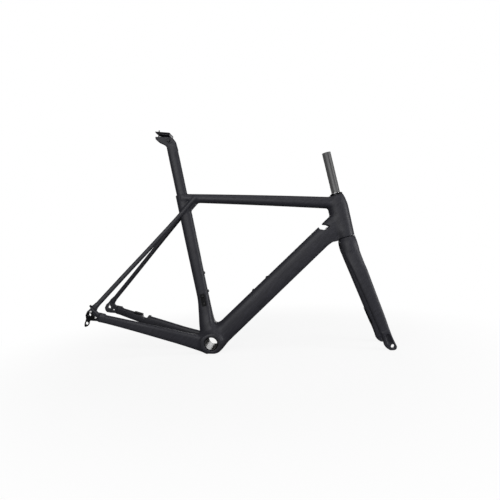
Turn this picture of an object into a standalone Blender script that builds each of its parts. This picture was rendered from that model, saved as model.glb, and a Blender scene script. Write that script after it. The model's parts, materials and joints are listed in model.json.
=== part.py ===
"""Carbon road frameset for disc brakes: frame, fork, headset bearings and seatpost with its rail clamp.

Metres, +Z up, +X forward, +Y to the rider's left.  The origin is the centre of the bottom bracket,
and both wheel axles lie at the same height.
"""

import math

import bmesh
import bpy
from mathutils import Matrix, Vector

MM = 0.001

# Layout of the frame in side view
CHAINSTAY_LENGTH = 409 * MM
BB_DROP = 62 * MM
FRONT_CENTRE_REACH = 586 * MM
HEAD_ANGLE = math.radians(71.0)
FORK_RAKE = 52 * MM
AXLE_TO_CROWN = 373 * MM
HEAD_TUBE_LENGTH = 143 * MM
STEERER_ABOVE_HEAD = 146 * MM
SEAT_ANGLE = math.radians(72.55)
SEAT_TUBE_LENGTH = 514 * MM

# Wheel fittings
REAR_HUB_WIDTH = 142 * MM
FRONT_HUB_WIDTH = 100 * MM
AXLE_DIAMETER = 12 * MM
DROPOUT_THICKNESS = 9 * MM
TYRE_GAP = 40 * MM

# Bottom bracket shell
BB_WIDTH = 86.5 * MM
BB_BORE = 41 * MM
BB_OUTER = 64 * MM

# Headset bearings and steerer
UPPER_BEARING_OUTER = 41.8 * MM
UPPER_BEARING_INNER = 30.2 * MM
LOWER_BEARING_OUTER = 52 * MM
LOWER_BEARING_INNER = 40 * MM
BEARING_HEIGHT = 7 * MM
BEARING_DEPTH = 3 * MM
STEERER_DIAMETER = 28.6 * MM
STEERER_WALL = 3.3 * MM
CROWN_RACE_DIAMETER = 39.4 * MM

# Tubes: half sizes across and along their section
TUBE_WALL = 2.2 * MM
HEAD_TUBE_HALF_WIDTH_TOP = 25 * MM
HEAD_TUBE_HALF_WIDTH_LOWER = 30 * MM
TOP_TUBE_WIDTH_REAR = 36 * MM
TOP_TUBE_WIDTH_FRONT = 44 * MM
TOP_TUBE_HEIGHT_REAR = 29 * MM
TOP_TUBE_HEIGHT_FRONT = 40 * MM
TOP_TUBE_RISE = 24 * MM
DOWN_TUBE_DEPTH = 68 * MM
DOWN_TUBE_WIDTH_HEAD = 48 * MM
DOWN_TUBE_WIDTH_BB = 66 * MM
CHAINSTAY_HEIGHT_REAR = 24 * MM
CHAINSTAY_HEIGHT_BB = 50 * MM
CHAINSTAY_WIDTH = 21 * MM
CHAINSTAY_WIDTH_LOSS = 3 * MM
CHAINSTAY_SPREAD = ((0.0, 29 * MM), (0.18, 33 * MM), (0.45, 48 * MM), (0.75, 64 * MM))
CHAINSTAY_END_SHARE = 0.92
SEATSTAY_DEPTH = 16 * MM
SEATSTAY_WIDTH = 13 * MM
SEATSTAY_SPREAD = ((0.25, 60 * MM), (0.6, 36 * MM), (0.84, 22 * MM), (1.0, 17 * MM))
SEATSTAY_TOP_DROP = 18 * MM
SEATSTAY_TOP_ADVANCE = 37 * MM

# Seatpost and rail clamp
POST_DEPTH = 36 * MM
POST_WIDTH = 25 * MM
POST_WALL = 3 * MM
POST_INSERTION = 112 * MM
POST_EXPOSED = 194 * MM
RAIL_DIAMETER = 7 * MM
RAIL_SPACING = 44 * MM
CLAMP_LENGTH = 54 * MM
CLAMP_PLATE_THICKNESS = 7 * MM
BARREL_DIAMETER = 12 * MM
CLAMP_BOLT_DIAMETER = 5 * MM

# Fork blades
BLADE_DEPTH_TOP = 45 * MM
BLADE_DEPTH_TIP = 34 * MM
BLADE_WIDTH_TOP = 17 * MM
BLADE_WIDTH_TIP = 13 * MM
BLADE_RAKE_ANGLE = math.radians(8.2)
BLADE_SPREAD = ((0.0, 1.0), (0.3, 0.93), (0.7, 0.6), (1.0, 0.0))
TIP_RIM = 12.5 * MM

# Small fittings
BOTTLE_BOLT_SPACING = 64 * MM
BOTTLE_BOLT_HEAD = 9.5 * MM
FLAT_MOUNT_SPACING = 34 * MM
HANGER_DROP = 28 * MM
HANGER_BORE = 10 * MM
HANGER_THICKNESS = 6 * MM

# Space kept between touching pieces
GAP = 0.3 * MM
RUNNING_GAP = 0.6 * MM

SECTION_POINTS = 20
ROUND_POINTS = 24


for old in list(bpy.data.objects):
    bpy.data.objects.remove(old, do_unlink=True)

parts = bpy.data.collections.new("bicycle_frame")
cutters = bpy.data.collections.new("cutters")
bpy.context.scene.collection.children.link(parts)
bpy.context.scene.collection.children.link(cutters)


# Materials

def finish(name, colour, roughness, metallic):
    material = bpy.data.materials.new(name)
    material.use_nodes = True
    shader = material.node_tree.nodes["Principled BSDF"]
    shader.inputs["Base Color"].default_value = (*colour, 1.0)
    shader.inputs["Roughness"].default_value = roughness
    shader.inputs["Metallic"].default_value = metallic
    return material


MATT_CARBON = finish("matt_carbon", (0.028, 0.028, 0.032), 0.55, 0.0)
RAW_CARBON = finish("raw_carbon", (0.09, 0.09, 0.09), 0.45, 0.0)
BLACK_ALLOY = finish("black_alloy", (0.012, 0.012, 0.013), 0.4, 0.6)
BEARING_STEEL = finish("bearing_steel", (0.6, 0.6, 0.62), 0.25, 1.0)
BOLT_STEEL = finish("bolt_steel", (0.03, 0.03, 0.03), 0.35, 0.9)


# Points of the layout, seen from the side

def side_point(x, z):
    return Vector((x, 0.0, z))


LEFT = Vector((0.0, 1.0, 0.0))
REAR_AXLE = side_point(-math.sqrt(CHAINSTAY_LENGTH ** 2 - BB_DROP ** 2), BB_DROP)
FRONT_AXLE = side_point(FRONT_CENTRE_REACH, BB_DROP)
STEER_UP = side_point(-math.cos(HEAD_ANGLE), math.sin(HEAD_ANGLE))
STEER_BACK = side_point(-math.sin(HEAD_ANGLE), -math.cos(HEAD_ANGLE))
STEER_FOOT = FRONT_AXLE + STEER_BACK * FORK_RAKE
SEAT_UP = side_point(-math.cos(SEAT_ANGLE), math.sin(SEAT_ANGLE))
SEAT_BACK = side_point(-math.sin(SEAT_ANGLE), -math.cos(SEAT_ANGLE))
HEAD_LOWER_END = AXLE_TO_CROWN + RUNNING_GAP
HEAD_UPPER_END = HEAD_LOWER_END + HEAD_TUBE_LENGTH


def on_steering_axis(height):
    return STEER_FOOT + STEER_UP * height


def on_seat_axis(height):
    return SEAT_UP * height


# Empties that carry the bodies, each on its own joint axis

def carrier(name, place, axis):
    empty = bpy.data.objects.new(name, None)
    empty.matrix_world = Matrix.Translation(place) @ axis.to_track_quat("Z", "Y").to_matrix().to_4x4()
    parts.objects.link(empty)
    return empty


FRAME = carrier("frame_carrier", Vector((0.0, 0.0, 0.0)), Vector((0.0, 0.0, 1.0)))
FORK = carrier("fork_carrier", on_steering_axis(HEAD_LOWER_END), STEER_UP)
POST = carrier("seatpost_carrier", on_seat_axis(SEAT_TUBE_LENGTH), SEAT_UP)
BARREL_HEIGHT = SEAT_TUBE_LENGTH + POST_EXPOSED - 5 * MM
BARREL_CENTRE = on_seat_axis(BARREL_HEIGHT) + SEAT_BACK * 5 * MM
CLAMP = carrier("clamp_carrier", BARREL_CENTRE, LEFT)
CAGES = {
    "upper": carrier("upper_cage_carrier", on_steering_axis(HEAD_UPPER_END), STEER_UP),
    "lower": carrier("lower_cage_carrier", on_steering_axis(HEAD_LOWER_END), STEER_UP),
}


# Shapes

def place_object(name, mesh, carrier_empty, material):
    """Link a mesh whose points are in world space, with its origin on its carrier."""
    piece = bpy.data.objects.new(name, mesh)
    parts.objects.link(piece)
    mesh.transform(carrier_empty.matrix_world.inverted())
    piece.parent = carrier_empty
    piece.data.materials.append(material)
    piece.data.shade_smooth()
    piece.data.set_sharp_from_angle(angle=math.radians(35))
    return piece


def place_cutter(name, mesh):
    tool = bpy.data.objects.new(name, mesh)
    tool.hide_render = True
    tool.display_type = "WIRE"
    cutters.objects.link(tool)
    return tool


def cut(piece, tool):
    boolean = piece.modifiers.new(tool.name, "BOOLEAN")
    boolean.operation = "DIFFERENCE"
    boolean.object = tool
    boolean.solver = "EXACT"


def section(centre, along, half_width, over, under, power, grow):
    """One closed ring of a tube: a superellipse that may be deeper on one side than on the other."""
    across = (LEFT - along * LEFT.dot(along)).normalized()
    up_side = along.cross(across)
    ring = []
    for index in range(SECTION_POINTS):
        angle = 2 * math.pi * index / SECTION_POINTS
        cosine = math.cos(angle)
        sine = math.sin(angle)
        w = math.copysign(abs(cosine) ** (2 / power), cosine) * (half_width + grow)
        d = math.copysign(abs(sine) ** (2 / power), sine) * ((over if sine > 0 else under) + grow)
        ring.append(centre + across * w + up_side * d)
    return ring


def loft_mesh(name, stations, grow=0.0, capped=True):
    """A skin through stations of (centre, half width, depth over, depth under, power)."""
    mesh = bpy.data.meshes.new(name)
    bm = bmesh.new()
    rings = []
    last = len(stations) - 1
    for index, (centre, half_width, over, under, power) in enumerate(stations):
        before = stations[max(index - 1, 0)][0]
        after = stations[min(index + 1, last)][0]
        along = (after - before).normalized()
        points = section(centre, along, half_width, over, under, power, grow)
        rings.append([bm.verts.new(point) for point in points])
    for low, high in zip(rings, rings[1:]):
        for index in range(SECTION_POINTS):
            step = (index + 1) % SECTION_POINTS
            bm.faces.new((low[index], low[step], high[step], high[index]))
    if capped:
        bm.faces.new(list(reversed(rings[0])))
        bm.faces.new(rings[-1])
    bm.to_mesh(mesh)
    bm.free()
    return mesh


def tube(name, stations, wall, carrier_empty, material):
    """An open skin with a wall, as a moulded tube with open ends."""
    piece = place_object(name, loft_mesh(name, stations, capped=False), carrier_empty, material)
    solidify = piece.modifiers.new("wall", "SOLIDIFY")
    solidify.thickness = wall
    solidify.offset = -1.0
    solidify.use_even_offset = True
    return piece


def loft_cutter(name, stations, grow):
    return place_cutter(name, loft_mesh(name, stations, grow))


def rod_mesh(name, start, end, radius, points=ROUND_POINTS):
    mesh = bpy.data.meshes.new(name)
    bm = bmesh.new()
    axis = end - start
    turn = axis.to_track_quat("Z", "Y").to_matrix().to_4x4()
    bmesh.ops.create_cone(bm, cap_ends=True, segments=points, radius1=radius, radius2=radius,
                          depth=axis.length, matrix=Matrix.Translation((start + end) / 2) @ turn)
    bm.to_mesh(mesh)
    bm.free()
    return mesh


def rod_cutter(name, start, end, radius, points=ROUND_POINTS):
    return place_cutter(name, rod_mesh(name, start, end, radius, points))


def block_mesh(name, centre, sizes, axes):
    """A box with its sides along three given directions."""
    mesh = bpy.data.meshes.new(name)
    bm = bmesh.new()
    turn = Matrix((axes[0], axes[1], axes[2])).transposed().to_4x4()
    scale = Matrix.Diagonal((*sizes, 1.0))
    bmesh.ops.create_cube(bm, size=1.0, matrix=Matrix.Translation(centre) @ turn @ scale)
    bmesh.ops.recalc_face_normals(bm, faces=bm.faces)
    bm.to_mesh(mesh)
    bm.free()
    return mesh


def turned_mesh(name, profile, foot, axis, points=ROUND_POINTS):
    """A closed profile of (radius, height) pairs, outer side first and downwards, spun about an axis."""
    mesh = bpy.data.meshes.new(name + "_profile")
    count = len(profile)
    pairs = [(index, (index + 1) % count) for index in range(count)]
    off_axis = [pair for pair in pairs if profile[pair[0]][0] + profile[pair[1]][0] > 0.0]
    mesh.from_pydata([(radius, 0.0, height) for radius, height in profile], off_axis, [])
    holder = bpy.data.objects.new(name + "_profile", mesh)
    cutters.objects.link(holder)
    screw = holder.modifiers.new("turn", "SCREW")
    screw.steps = points
    screw.render_steps = points
    screw.use_merge_vertices = True
    screw.merge_threshold = 0.00001
    evaluated = holder.evaluated_get(bpy.context.evaluated_depsgraph_get())
    spun = bpy.data.meshes.new_from_object(evaluated)
    bpy.data.objects.remove(holder, do_unlink=True)
    spun.transform(Matrix.Translation(foot) @ axis.to_track_quat("Z", "Y").to_matrix().to_4x4())
    return spun


def ring_profile(inner, outer, low, high):
    return [(outer, high), (outer, low), (inner, low), (inner, high)]


def outline_mesh(name, points, start, thickness):
    """A flat outline in side view, given thickness sideways from the plane y = start."""
    curve = bpy.data.curves.new(name, "CURVE")
    curve.dimensions = "2D"
    curve.fill_mode = "BOTH"
    curve.extrude = abs(thickness) / 2
    spline = curve.splines.new("POLY")
    spline.points.add(len(points) - 1)
    for spot, (x, z) in zip(spline.points, points):
        spot.co = (x, z, 0.0, 1.0)
    spline.use_cyclic_u = True
    holder = bpy.data.objects.new(name, curve)
    cutters.objects.link(holder)
    evaluated = holder.evaluated_get(bpy.context.evaluated_depsgraph_get())
    mesh = bpy.data.meshes.new_from_object(evaluated)
    bpy.data.objects.remove(holder, do_unlink=True)
    bm = bmesh.new()
    bm.from_mesh(mesh)
    bmesh.ops.remove_doubles(bm, verts=bm.verts, dist=0.00001)
    bm.to_mesh(mesh)
    bm.free()
    stand = Matrix.Rotation(math.radians(90), 4, "X")
    mesh.transform(Matrix.Translation((0.0, start + thickness / 2, 0.0)) @ stand)
    return mesh


def arc(centre, radius, first, last, count):
    """Points (x, z) on a circle in side view, from one angle in degrees to another."""
    spots = []
    for index in range(count):
        angle = math.radians(first + (last - first) * index / (count - 1))
        spots.append((centre.x + radius * math.cos(angle), centre.z + radius * math.sin(angle)))
    return spots


def bolt(name, seat, axis, head_diameter, head_height, shank_diameter, length, carrier_empty):
    """A button head standing on its seat, with its shank going down and a hexagon socket in the head."""
    head = head_diameter / 2
    shank = shank_diameter / 2
    socket = head * 0.45
    floor = head_height * 0.4
    profile = [(socket, head_height), (head * 0.8, head_height), (head, head_height * 0.5), (head, 0.0),
               (shank, 0.0), (shank, -length), (0.0, -length), (0.0, floor), (socket, floor)]
    mesh = turned_mesh(name, profile, seat, axis, points=12)
    return place_object(name, mesh, carrier_empty, BOLT_STEEL)


# Head tube: a deep, tapered casing with a seat for a bearing at each end

def head_station(share, half_width, rear, front):
    height = HEAD_LOWER_END + HEAD_TUBE_LENGTH * share
    return (on_steering_axis(height), half_width, rear, front, 2.3)


HEAD_STATIONS = [
    head_station(0.0, HEAD_TUBE_HALF_WIDTH_LOWER, 31 * MM, 29 * MM),
    head_station(0.12, HEAD_TUBE_HALF_WIDTH_LOWER, 34 * MM, 28.5 * MM),
    head_station(0.35, HEAD_TUBE_HALF_WIDTH_LOWER - 3 * MM, 39 * MM, 28.5 * MM),
    head_station(0.7, HEAD_TUBE_HALF_WIDTH_TOP + 1 * MM, 39 * MM, 29.5 * MM),
    head_station(0.88, HEAD_TUBE_HALF_WIDTH_TOP, 30 * MM, 27 * MM),
    head_station(1.0, HEAD_TUBE_HALF_WIDTH_TOP, 25 * MM, HEAD_TUBE_HALF_WIDTH_TOP),
]
head_tube = place_object("head_tube", loft_mesh("head_tube", HEAD_STATIONS), FRAME, MATT_CARBON)
head_solid = loft_cutter("head_solid", HEAD_STATIONS, GAP)
upper_seat = UPPER_BEARING_OUTER / 2 + GAP
lower_seat = LOWER_BEARING_OUTER / 2 + GAP
seat_depth = BEARING_DEPTH + BEARING_HEIGHT + GAP
SHOULDER = 3 * MM
bore_profile = [
    (upper_seat, HEAD_TUBE_LENGTH + 5 * MM),
    (upper_seat, HEAD_TUBE_LENGTH - seat_depth),
    (upper_seat - SHOULDER, HEAD_TUBE_LENGTH - seat_depth),
    (lower_seat - SHOULDER, seat_depth),
    (lower_seat, seat_depth),
    (lower_seat, -5 * MM),
    (0.0, -5 * MM),
    (0.0, HEAD_TUBE_LENGTH + 5 * MM),
]
cut(head_tube, place_cutter("head_bore", turned_mesh("head_bore", bore_profile,
                                                     on_steering_axis(HEAD_LOWER_END), STEER_UP)))


# Bottom bracket shell: a plain press-fit sleeve across the frame

bb_half = BB_WIDTH / 2
bb_profile = ring_profile(BB_BORE / 2, BB_OUTER / 2, -bb_half, bb_half)
place_object("bottom_bracket_shell",
             turned_mesh("bottom_bracket_shell", bb_profile, Vector((0.0, 0.0, 0.0)), LEFT),
             FRAME, MATT_CARBON)
bb_solid = rod_cutter("bb_solid", -LEFT * (bb_half + 5 * MM), LEFT * (bb_half + 5 * MM), BB_OUTER / 2 + GAP)


# Seat tube: fits the seatpost at its top and spreads to the shell at its foot

seat_inner_depth = POST_DEPTH / 2 + GAP
seat_inner_width = POST_WIDTH / 2 + GAP
seat_half_depth = seat_inner_depth + TUBE_WALL
seat_half_width = seat_inner_width + TUBE_WALL
SEAT_STATIONS = [
    (on_seat_axis(10 * MM), 33 * MM, 28 * MM, 22 * MM, 2.6),
    (on_seat_axis(60 * MM), 28 * MM, 28 * MM, 20 * MM, 2.6),
    (on_seat_axis(100 * MM), 20 * MM, 25 * MM, 19 * MM, 2.4),
    (on_seat_axis(160 * MM), seat_half_width, seat_half_depth, seat_half_depth, 2.2),
    (on_seat_axis(SEAT_TUBE_LENGTH * 0.6), seat_half_width, seat_half_depth, seat_half_depth, 2.2),
    (on_seat_axis(SEAT_TUBE_LENGTH), seat_half_width, seat_half_depth, seat_half_depth, 2.2),
]
seat_tube = tube("seat_tube", SEAT_STATIONS, TUBE_WALL, FRAME, MATT_CARBON)
ABOVE_SEAT_TUBE = 60 * MM
seat_reach = SEAT_STATIONS + [(on_seat_axis(SEAT_TUBE_LENGTH + ABOVE_SEAT_TUBE), *SEAT_STATIONS[-1][1:])]
seat_solid = loft_cutter("seat_solid", seat_reach, GAP)
cut(seat_tube, bb_solid)


# Top tube: slim at the seat, deeper at the head

top_rear_height = SEAT_TUBE_LENGTH - 11 * MM
top_rear = on_seat_axis(top_rear_height)
top_front = on_steering_axis(HEAD_UPPER_END - 36 * MM)
top_front.z = top_rear.z + TOP_TUBE_RISE


def top_station(share):
    width = TOP_TUBE_WIDTH_REAR + (TOP_TUBE_WIDTH_FRONT - TOP_TUBE_WIDTH_REAR) * share
    height = TOP_TUBE_HEIGHT_REAR + (TOP_TUBE_HEIGHT_FRONT - TOP_TUBE_HEIGHT_REAR) * share
    return (top_rear.lerp(top_front, share), width / 2, height / 2, height / 2, 2.5)


TOP_STATIONS = [top_station(share) for share in (0.0, 0.3, 0.65, 1.0)]
top_tube = tube("top_tube", TOP_STATIONS, TUBE_WALL, FRAME, MATT_CARBON)
top_solid = loft_cutter("top_solid", TOP_STATIONS, GAP)
cut(top_tube, head_solid)
cut(top_tube, seat_solid)


# Down tube: the deep beam between the shell and the head tube, with a cable port at its upper end

down_foot = Vector((0.0, 0.0, -4 * MM))
down_head = on_steering_axis(HEAD_LOWER_END + HEAD_TUBE_LENGTH * 0.44)


def down_station(share):
    width = DOWN_TUBE_WIDTH_BB + (DOWN_TUBE_WIDTH_HEAD - DOWN_TUBE_WIDTH_BB) * min(share / 0.6, 1.0)
    half = DOWN_TUBE_DEPTH / 2
    return (down_foot.lerp(down_head, share), width / 2, half, half, 2.8)


DOWN_START = -0.014
DOWN_STATIONS = [down_station(share) for share in (DOWN_START, 0.2, 0.6, 1.0)]
down_tube = tube("down_tube", DOWN_STATIONS, TUBE_WALL, FRAME, MATT_CARBON)
down_along = (down_head - down_foot).normalized()
down_up = down_along.cross(LEFT)
down_solid = loft_cutter("down_solid", DOWN_STATIONS, GAP)
SWEEP_CLEARANCE = 1.5 * MM
CROWN_CHEEK = 1 * MM
CROWN_SHOULDER = 4 * MM
crown_half_width = TYRE_GAP / 2 + BLADE_WIDTH_TOP + CROWN_CHEEK
CROWN_HEIGHT = 42 * MM
sweep_profile = [
    (HEAD_TUBE_HALF_WIDTH_LOWER + SWEEP_CLEARANCE, GAP),
    (crown_half_width - CROWN_SHOULDER + SWEEP_CLEARANCE, SWEEP_CLEARANCE - CROWN_HEIGHT * 0.2),
    (crown_half_width + SWEEP_CLEARANCE, SWEEP_CLEARANCE - CROWN_HEIGHT * 0.5),
    (crown_half_width + CROWN_SHOULDER, -CROWN_HEIGHT),
    (crown_half_width + CROWN_SHOULDER, -2 * CROWN_HEIGHT),
    (0.0, -2 * CROWN_HEIGHT),
    (0.0, GAP),
]
fork_sweep = place_cutter("fork_sweep", turned_mesh("fork_sweep", sweep_profile,
                                                    on_steering_axis(HEAD_LOWER_END), STEER_UP))
PORT_FROM_HEAD = 69 * MM
PORT_LENGTH = 34 * MM
PORT_HEIGHT = 17 * MM
PORT_DROP = 5.5 * MM
PORT_ADVANCE = 5 * MM
port_mouth = down_head - down_along * PORT_FROM_HEAD + down_up * DOWN_TUBE_DEPTH / 2
port_centre = port_mouth + Vector((PORT_ADVANCE, 0.0, -PORT_DROP))
WORLD_AXES = (Vector((1.0, 0.0, 0.0)), LEFT, Vector((0.0, 0.0, 1.0)))
cable_port = place_cutter("cable_port", block_mesh("cable_port", port_centre,
                                                   (PORT_LENGTH, DOWN_TUBE_WIDTH_HEAD * 2, PORT_HEIGHT),
                                                   WORLD_AXES))
cut(down_tube, bb_solid)
cut(down_tube, seat_solid)
cut(down_tube, head_solid)
cut(down_tube, top_solid)
cut(down_tube, fork_sweep)
cut(down_tube, cable_port)


# Rear end: one function makes each side of the frame

SIDES = {"right": -1.0, "left": 1.0}
rear_inner = REAR_HUB_WIDTH / 2
rear_middle = rear_inner + DROPOUT_THICKNESS / 2


def chainstay_stations(side):
    start = side_point(-8 * MM, -4 * MM)
    stations = []
    for share, offset in (*CHAINSTAY_SPREAD, (CHAINSTAY_END_SHARE, rear_middle)):
        centre = start.lerp(REAR_AXLE, share)
        centre.y = side * offset
        height = CHAINSTAY_HEIGHT_BB + (CHAINSTAY_HEIGHT_REAR - CHAINSTAY_HEIGHT_BB) * share
        width = CHAINSTAY_WIDTH - CHAINSTAY_WIDTH_LOSS * share
        stations.append((centre, width / 2, height / 2, height / 2, 3.0))
    return stations


def seatstay_stations(side):
    foot = REAR_AXLE + side_point(10 * MM, 34 * MM)
    top = on_seat_axis(SEAT_TUBE_LENGTH - SEATSTAY_TOP_DROP) + side_point(SEATSTAY_TOP_ADVANCE, 0.0)
    stations = []
    for share, offset in ((0.0, rear_middle), *SEATSTAY_SPREAD):
        centre = foot.lerp(top, share)
        centre.y = side * offset
        stations.append((centre, SEATSTAY_WIDTH / 2, SEATSTAY_DEPTH / 2, SEATSTAY_DEPTH / 2, 2.4))
    return stations


def dropout_outline():
    """The plate around the axle, with one arm along the chainstay and one up the seatstay."""
    axle = REAR_AXLE
    boss = 15 * MM
    return (arc(axle, boss, 150, 320, 12)
            + [(axle.x + 48 * MM, axle.z - 18 * MM), (axle.x + 50 * MM, axle.z + 4 * MM),
               (axle.x + 26 * MM, axle.z + 9 * MM), (axle.x + 20 * MM, axle.z + 18 * MM),
               (axle.x + 29 * MM, axle.z + 36 * MM), (axle.x + 18 * MM, axle.z + 44 * MM),
               (axle.x + 3 * MM, axle.z + 26 * MM)])


def rear_side(name, side):
    dropout_mesh = outline_mesh("dropout_" + name, dropout_outline(), side * rear_inner,
                                side * DROPOUT_THICKNESS)
    grown = outline_mesh("dropout_solid_" + name, dropout_outline(), side * (rear_inner - GAP),
                         side * (DROPOUT_THICKNESS + 2 * GAP))
    dropout_solid = place_cutter("dropout_solid_" + name, grown)
    dropout = place_object("dropout_" + name, dropout_mesh, FRAME, BLACK_ALLOY)
    axle_ends = [REAR_AXLE + LEFT * side * (rear_inner + offset) for offset in (-30 * MM, 30 * MM)]
    cut(dropout, rod_cutter("rear_axle_" + name, *axle_ends, AXLE_DIAMETER / 2 + GAP))

    stay_stations = chainstay_stations(side)
    chainstay = tube("chainstay_" + name, stay_stations, TUBE_WALL, FRAME, MATT_CARBON)
    cut(chainstay, bb_solid)
    cut(chainstay, seat_solid)
    cut(chainstay, down_solid)
    cut(chainstay, dropout_solid)

    seatstay = tube("seatstay_" + name, seatstay_stations(side), TUBE_WALL, FRAME, MATT_CARBON)
    cut(seatstay, seat_solid)
    cut(seatstay, top_solid)
    cut(seatstay, dropout_solid)
    return dropout


rear_dropouts = {name: rear_side(name, side) for name, side in SIDES.items()}


# Derailleur hanger: a replaceable plate on the outside of the right dropout, held by one bolt

hanger_start = -(rear_inner + DROPOUT_THICKNESS + GAP)
hanger_eye = REAR_AXLE + Vector((-7 * MM, 0.0, -HANGER_DROP))
hanger_screw = REAR_AXLE + Vector((21 * MM, 0.0, -4 * MM))
HANGER_EYE_RIM = 4 * MM
hanger_outline = (arc(REAR_AXLE, 11 * MM, 60, 200, 10)
                  + arc(hanger_eye, HANGER_BORE / 2 + HANGER_EYE_RIM, 190, 340, 10)
                  + arc(hanger_screw, 6.5 * MM, -80, 60, 8))
hanger = place_object("derailleur_hanger",
                      outline_mesh("derailleur_hanger", hanger_outline, hanger_start, -HANGER_THICKNESS),
                      FRAME, BLACK_ALLOY)
OVERSHOOT = 20 * MM


def across_cutter(name, centre, radius, start, end):
    """A round hole straight across the bicycle between two sideways places."""
    return rod_cutter(name, Vector((centre.x, start, centre.z)), Vector((centre.x, end, centre.z)), radius)


hanger_span = (hanger_start + OVERSHOOT / 2, hanger_start - OVERSHOOT)
cut(hanger, across_cutter("hanger_axle", REAR_AXLE, AXLE_DIAMETER / 2 + GAP, *hanger_span))
cut(hanger, across_cutter("hanger_bore", hanger_eye, HANGER_BORE / 2, *hanger_span))
SMALL_SCREW = 4 * MM
hanger_face = hanger_start - HANGER_THICKNESS
hanger_hole = across_cutter("hanger_screw_hole", hanger_screw, SMALL_SCREW / 2 + GAP, *hanger_span)
cut(hanger, hanger_hole)
cut(rear_dropouts["right"], hanger_hole)
SMALL_HEAD = 7.5 * MM
SMALL_HEAD_HEIGHT = 2.5 * MM
bolt("hanger_bolt", Vector((hanger_screw.x, hanger_face - GAP, hanger_screw.z)), -LEFT, SMALL_HEAD,
     SMALL_HEAD_HEIGHT, SMALL_SCREW, HANGER_THICKNESS + 6 * MM, FRAME)


# Cable stop: a short open barrel where the gear cable leaves the right dropout

stop_foot = REAR_AXLE + Vector((6 * MM, -rear_middle, 18 * MM))
stop_axis = Vector((-0.7, 0.0, 0.714)).normalized()
STOP_LENGTH = 16 * MM
STOP_BORE = 4 * MM
STOP_OUTER = 7.2 * MM
stop_profile = ring_profile(STOP_BORE / 2, STOP_OUTER / 2, 0.0, STOP_LENGTH)
cable_stop = place_object("cable_stop",
                          turned_mesh("cable_stop", stop_profile, stop_foot, stop_axis, points=16),
                          FRAME, BLACK_ALLOY)
cut(cable_stop, bpy.data.objects["dropout_solid_right"])


# Flat mount for the rear brake: a pad on top of the left chainstay with two holes

def middle_of(stations, first, last, share):
    return stations[first][0].lerp(stations[last][0], share)


left_stay = chainstay_stations(SIDES["left"])
REAR_PAD_SHARE = 0.75
brake_centre = middle_of(left_stay, 2, 3, REAR_PAD_SHARE)
stay_along = (left_stay[2][0] - left_stay[3][0]).normalized()
stay_across = (LEFT - stay_along * LEFT.dot(stay_along)).normalized()
stay_up = stay_along.cross(stay_across)
stay_top = left_stay[2][2] + (left_stay[3][2] - left_stay[2][2]) * REAR_PAD_SHARE
PAD_LENGTH = 58 * MM
PAD_WIDTH = 18 * MM
PAD_HEIGHT = 10 * MM
PAD_RISE = 3.5 * MM
pad_centre = brake_centre + stay_up * (stay_top + PAD_RISE - PAD_HEIGHT / 2)
pad_axes = (stay_along, stay_across, stay_up)
rear_pad = place_object("rear_brake_mount", block_mesh("rear_brake_mount", pad_centre,
                                                       (PAD_LENGTH, PAD_WIDTH, PAD_HEIGHT), pad_axes),
                        FRAME, BLACK_ALLOY)
cut(rear_pad, loft_cutter("left_stay_solid", left_stay, GAP))
MOUNT_BOLT = 5.4 * MM
for index, half in enumerate((-0.5, 0.5)):
    spot = pad_centre + stay_along * FLAT_MOUNT_SPACING * half
    cut(rear_pad, rod_cutter("rear_brake_hole_%d" % index, spot - stay_up * OVERSHOOT,
                             spot + stay_up * OVERSHOOT, MOUNT_BOLT / 2, points=16))


# Front derailleur mount: a small plate on the right side of the seat tube with two screws

MECH_HEIGHT = 146 * MM
MECH_LENGTH = 42 * MM
MECH_WIDTH = 15 * MM
mech_inner = seat_half_width - 3 * MM
mech_outer = seat_half_width + 6 * MM
mech_centre = on_seat_axis(MECH_HEIGHT) - LEFT * (mech_inner + mech_outer) / 2
mech_mount = place_object("front_derailleur_mount",
                          block_mesh("front_derailleur_mount", mech_centre,
                                     (MECH_WIDTH, mech_outer - mech_inner, MECH_LENGTH),
                                     (SEAT_BACK, LEFT, SEAT_UP)),
                          FRAME, BLACK_ALLOY)
cut(mech_mount, seat_solid)
MECH_SCREW_SPACING = 26 * MM
for name, half in (("upper", 0.5), ("lower", -0.5)):
    seat = on_seat_axis(MECH_HEIGHT + MECH_SCREW_SPACING * half) - LEFT * (mech_outer + GAP)
    hole = rod_cutter("mech_hole_" + name, seat - LEFT * OVERSHOOT, seat + LEFT * OVERSHOOT,
                      SMALL_SCREW / 2 + GAP, points=16)
    cut(mech_mount, hole)
    cut(seat_tube, hole)
    bolt("derailleur_mount_bolt_" + name, seat, -LEFT, SMALL_HEAD, SMALL_HEAD_HEIGHT, SMALL_SCREW,
         10 * MM, FRAME)


# Bottle cage bolts: two on the down tube and two on the seat tube

BOTTLE_SHANK = 5 * MM
BOTTLE_LENGTH = 9 * MM
BOTTLE_HEAD_HEIGHT = 3 * MM
DOWN_BOTTLE = 257 * MM
SEAT_BOTTLE = 203 * MM
bottle_places = {}
for name, half in (("upper", 0.5), ("lower", -0.5)):
    step = BOTTLE_BOLT_SPACING * half
    down_seat = down_foot + down_along * (DOWN_BOTTLE + step) + down_up * (DOWN_TUBE_DEPTH / 2 + GAP)
    seat_tube_seat = on_seat_axis(SEAT_BOTTLE + step) - SEAT_BACK * (seat_half_depth + GAP)
    bottle_places["down_tube_bolt_" + name] = (down_tube, down_seat, down_up)
    bottle_places["seat_tube_bolt_" + name] = (seat_tube, seat_tube_seat, -SEAT_BACK)
for name, (host, seat, axis) in bottle_places.items():
    cut(host, rod_cutter(name + "_hole", seat - axis * OVERSHOOT, seat + axis * OVERSHOOT,
                         BOTTLE_SHANK / 2 + GAP, points=16))
    bolt(name, seat, axis, BOTTLE_BOLT_HEAD, BOTTLE_HEAD_HEIGHT, BOTTLE_SHANK, BOTTLE_LENGTH, FRAME)


# Seatpost wedge: a block between the post and the top tube, drawn up by its own screw

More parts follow.
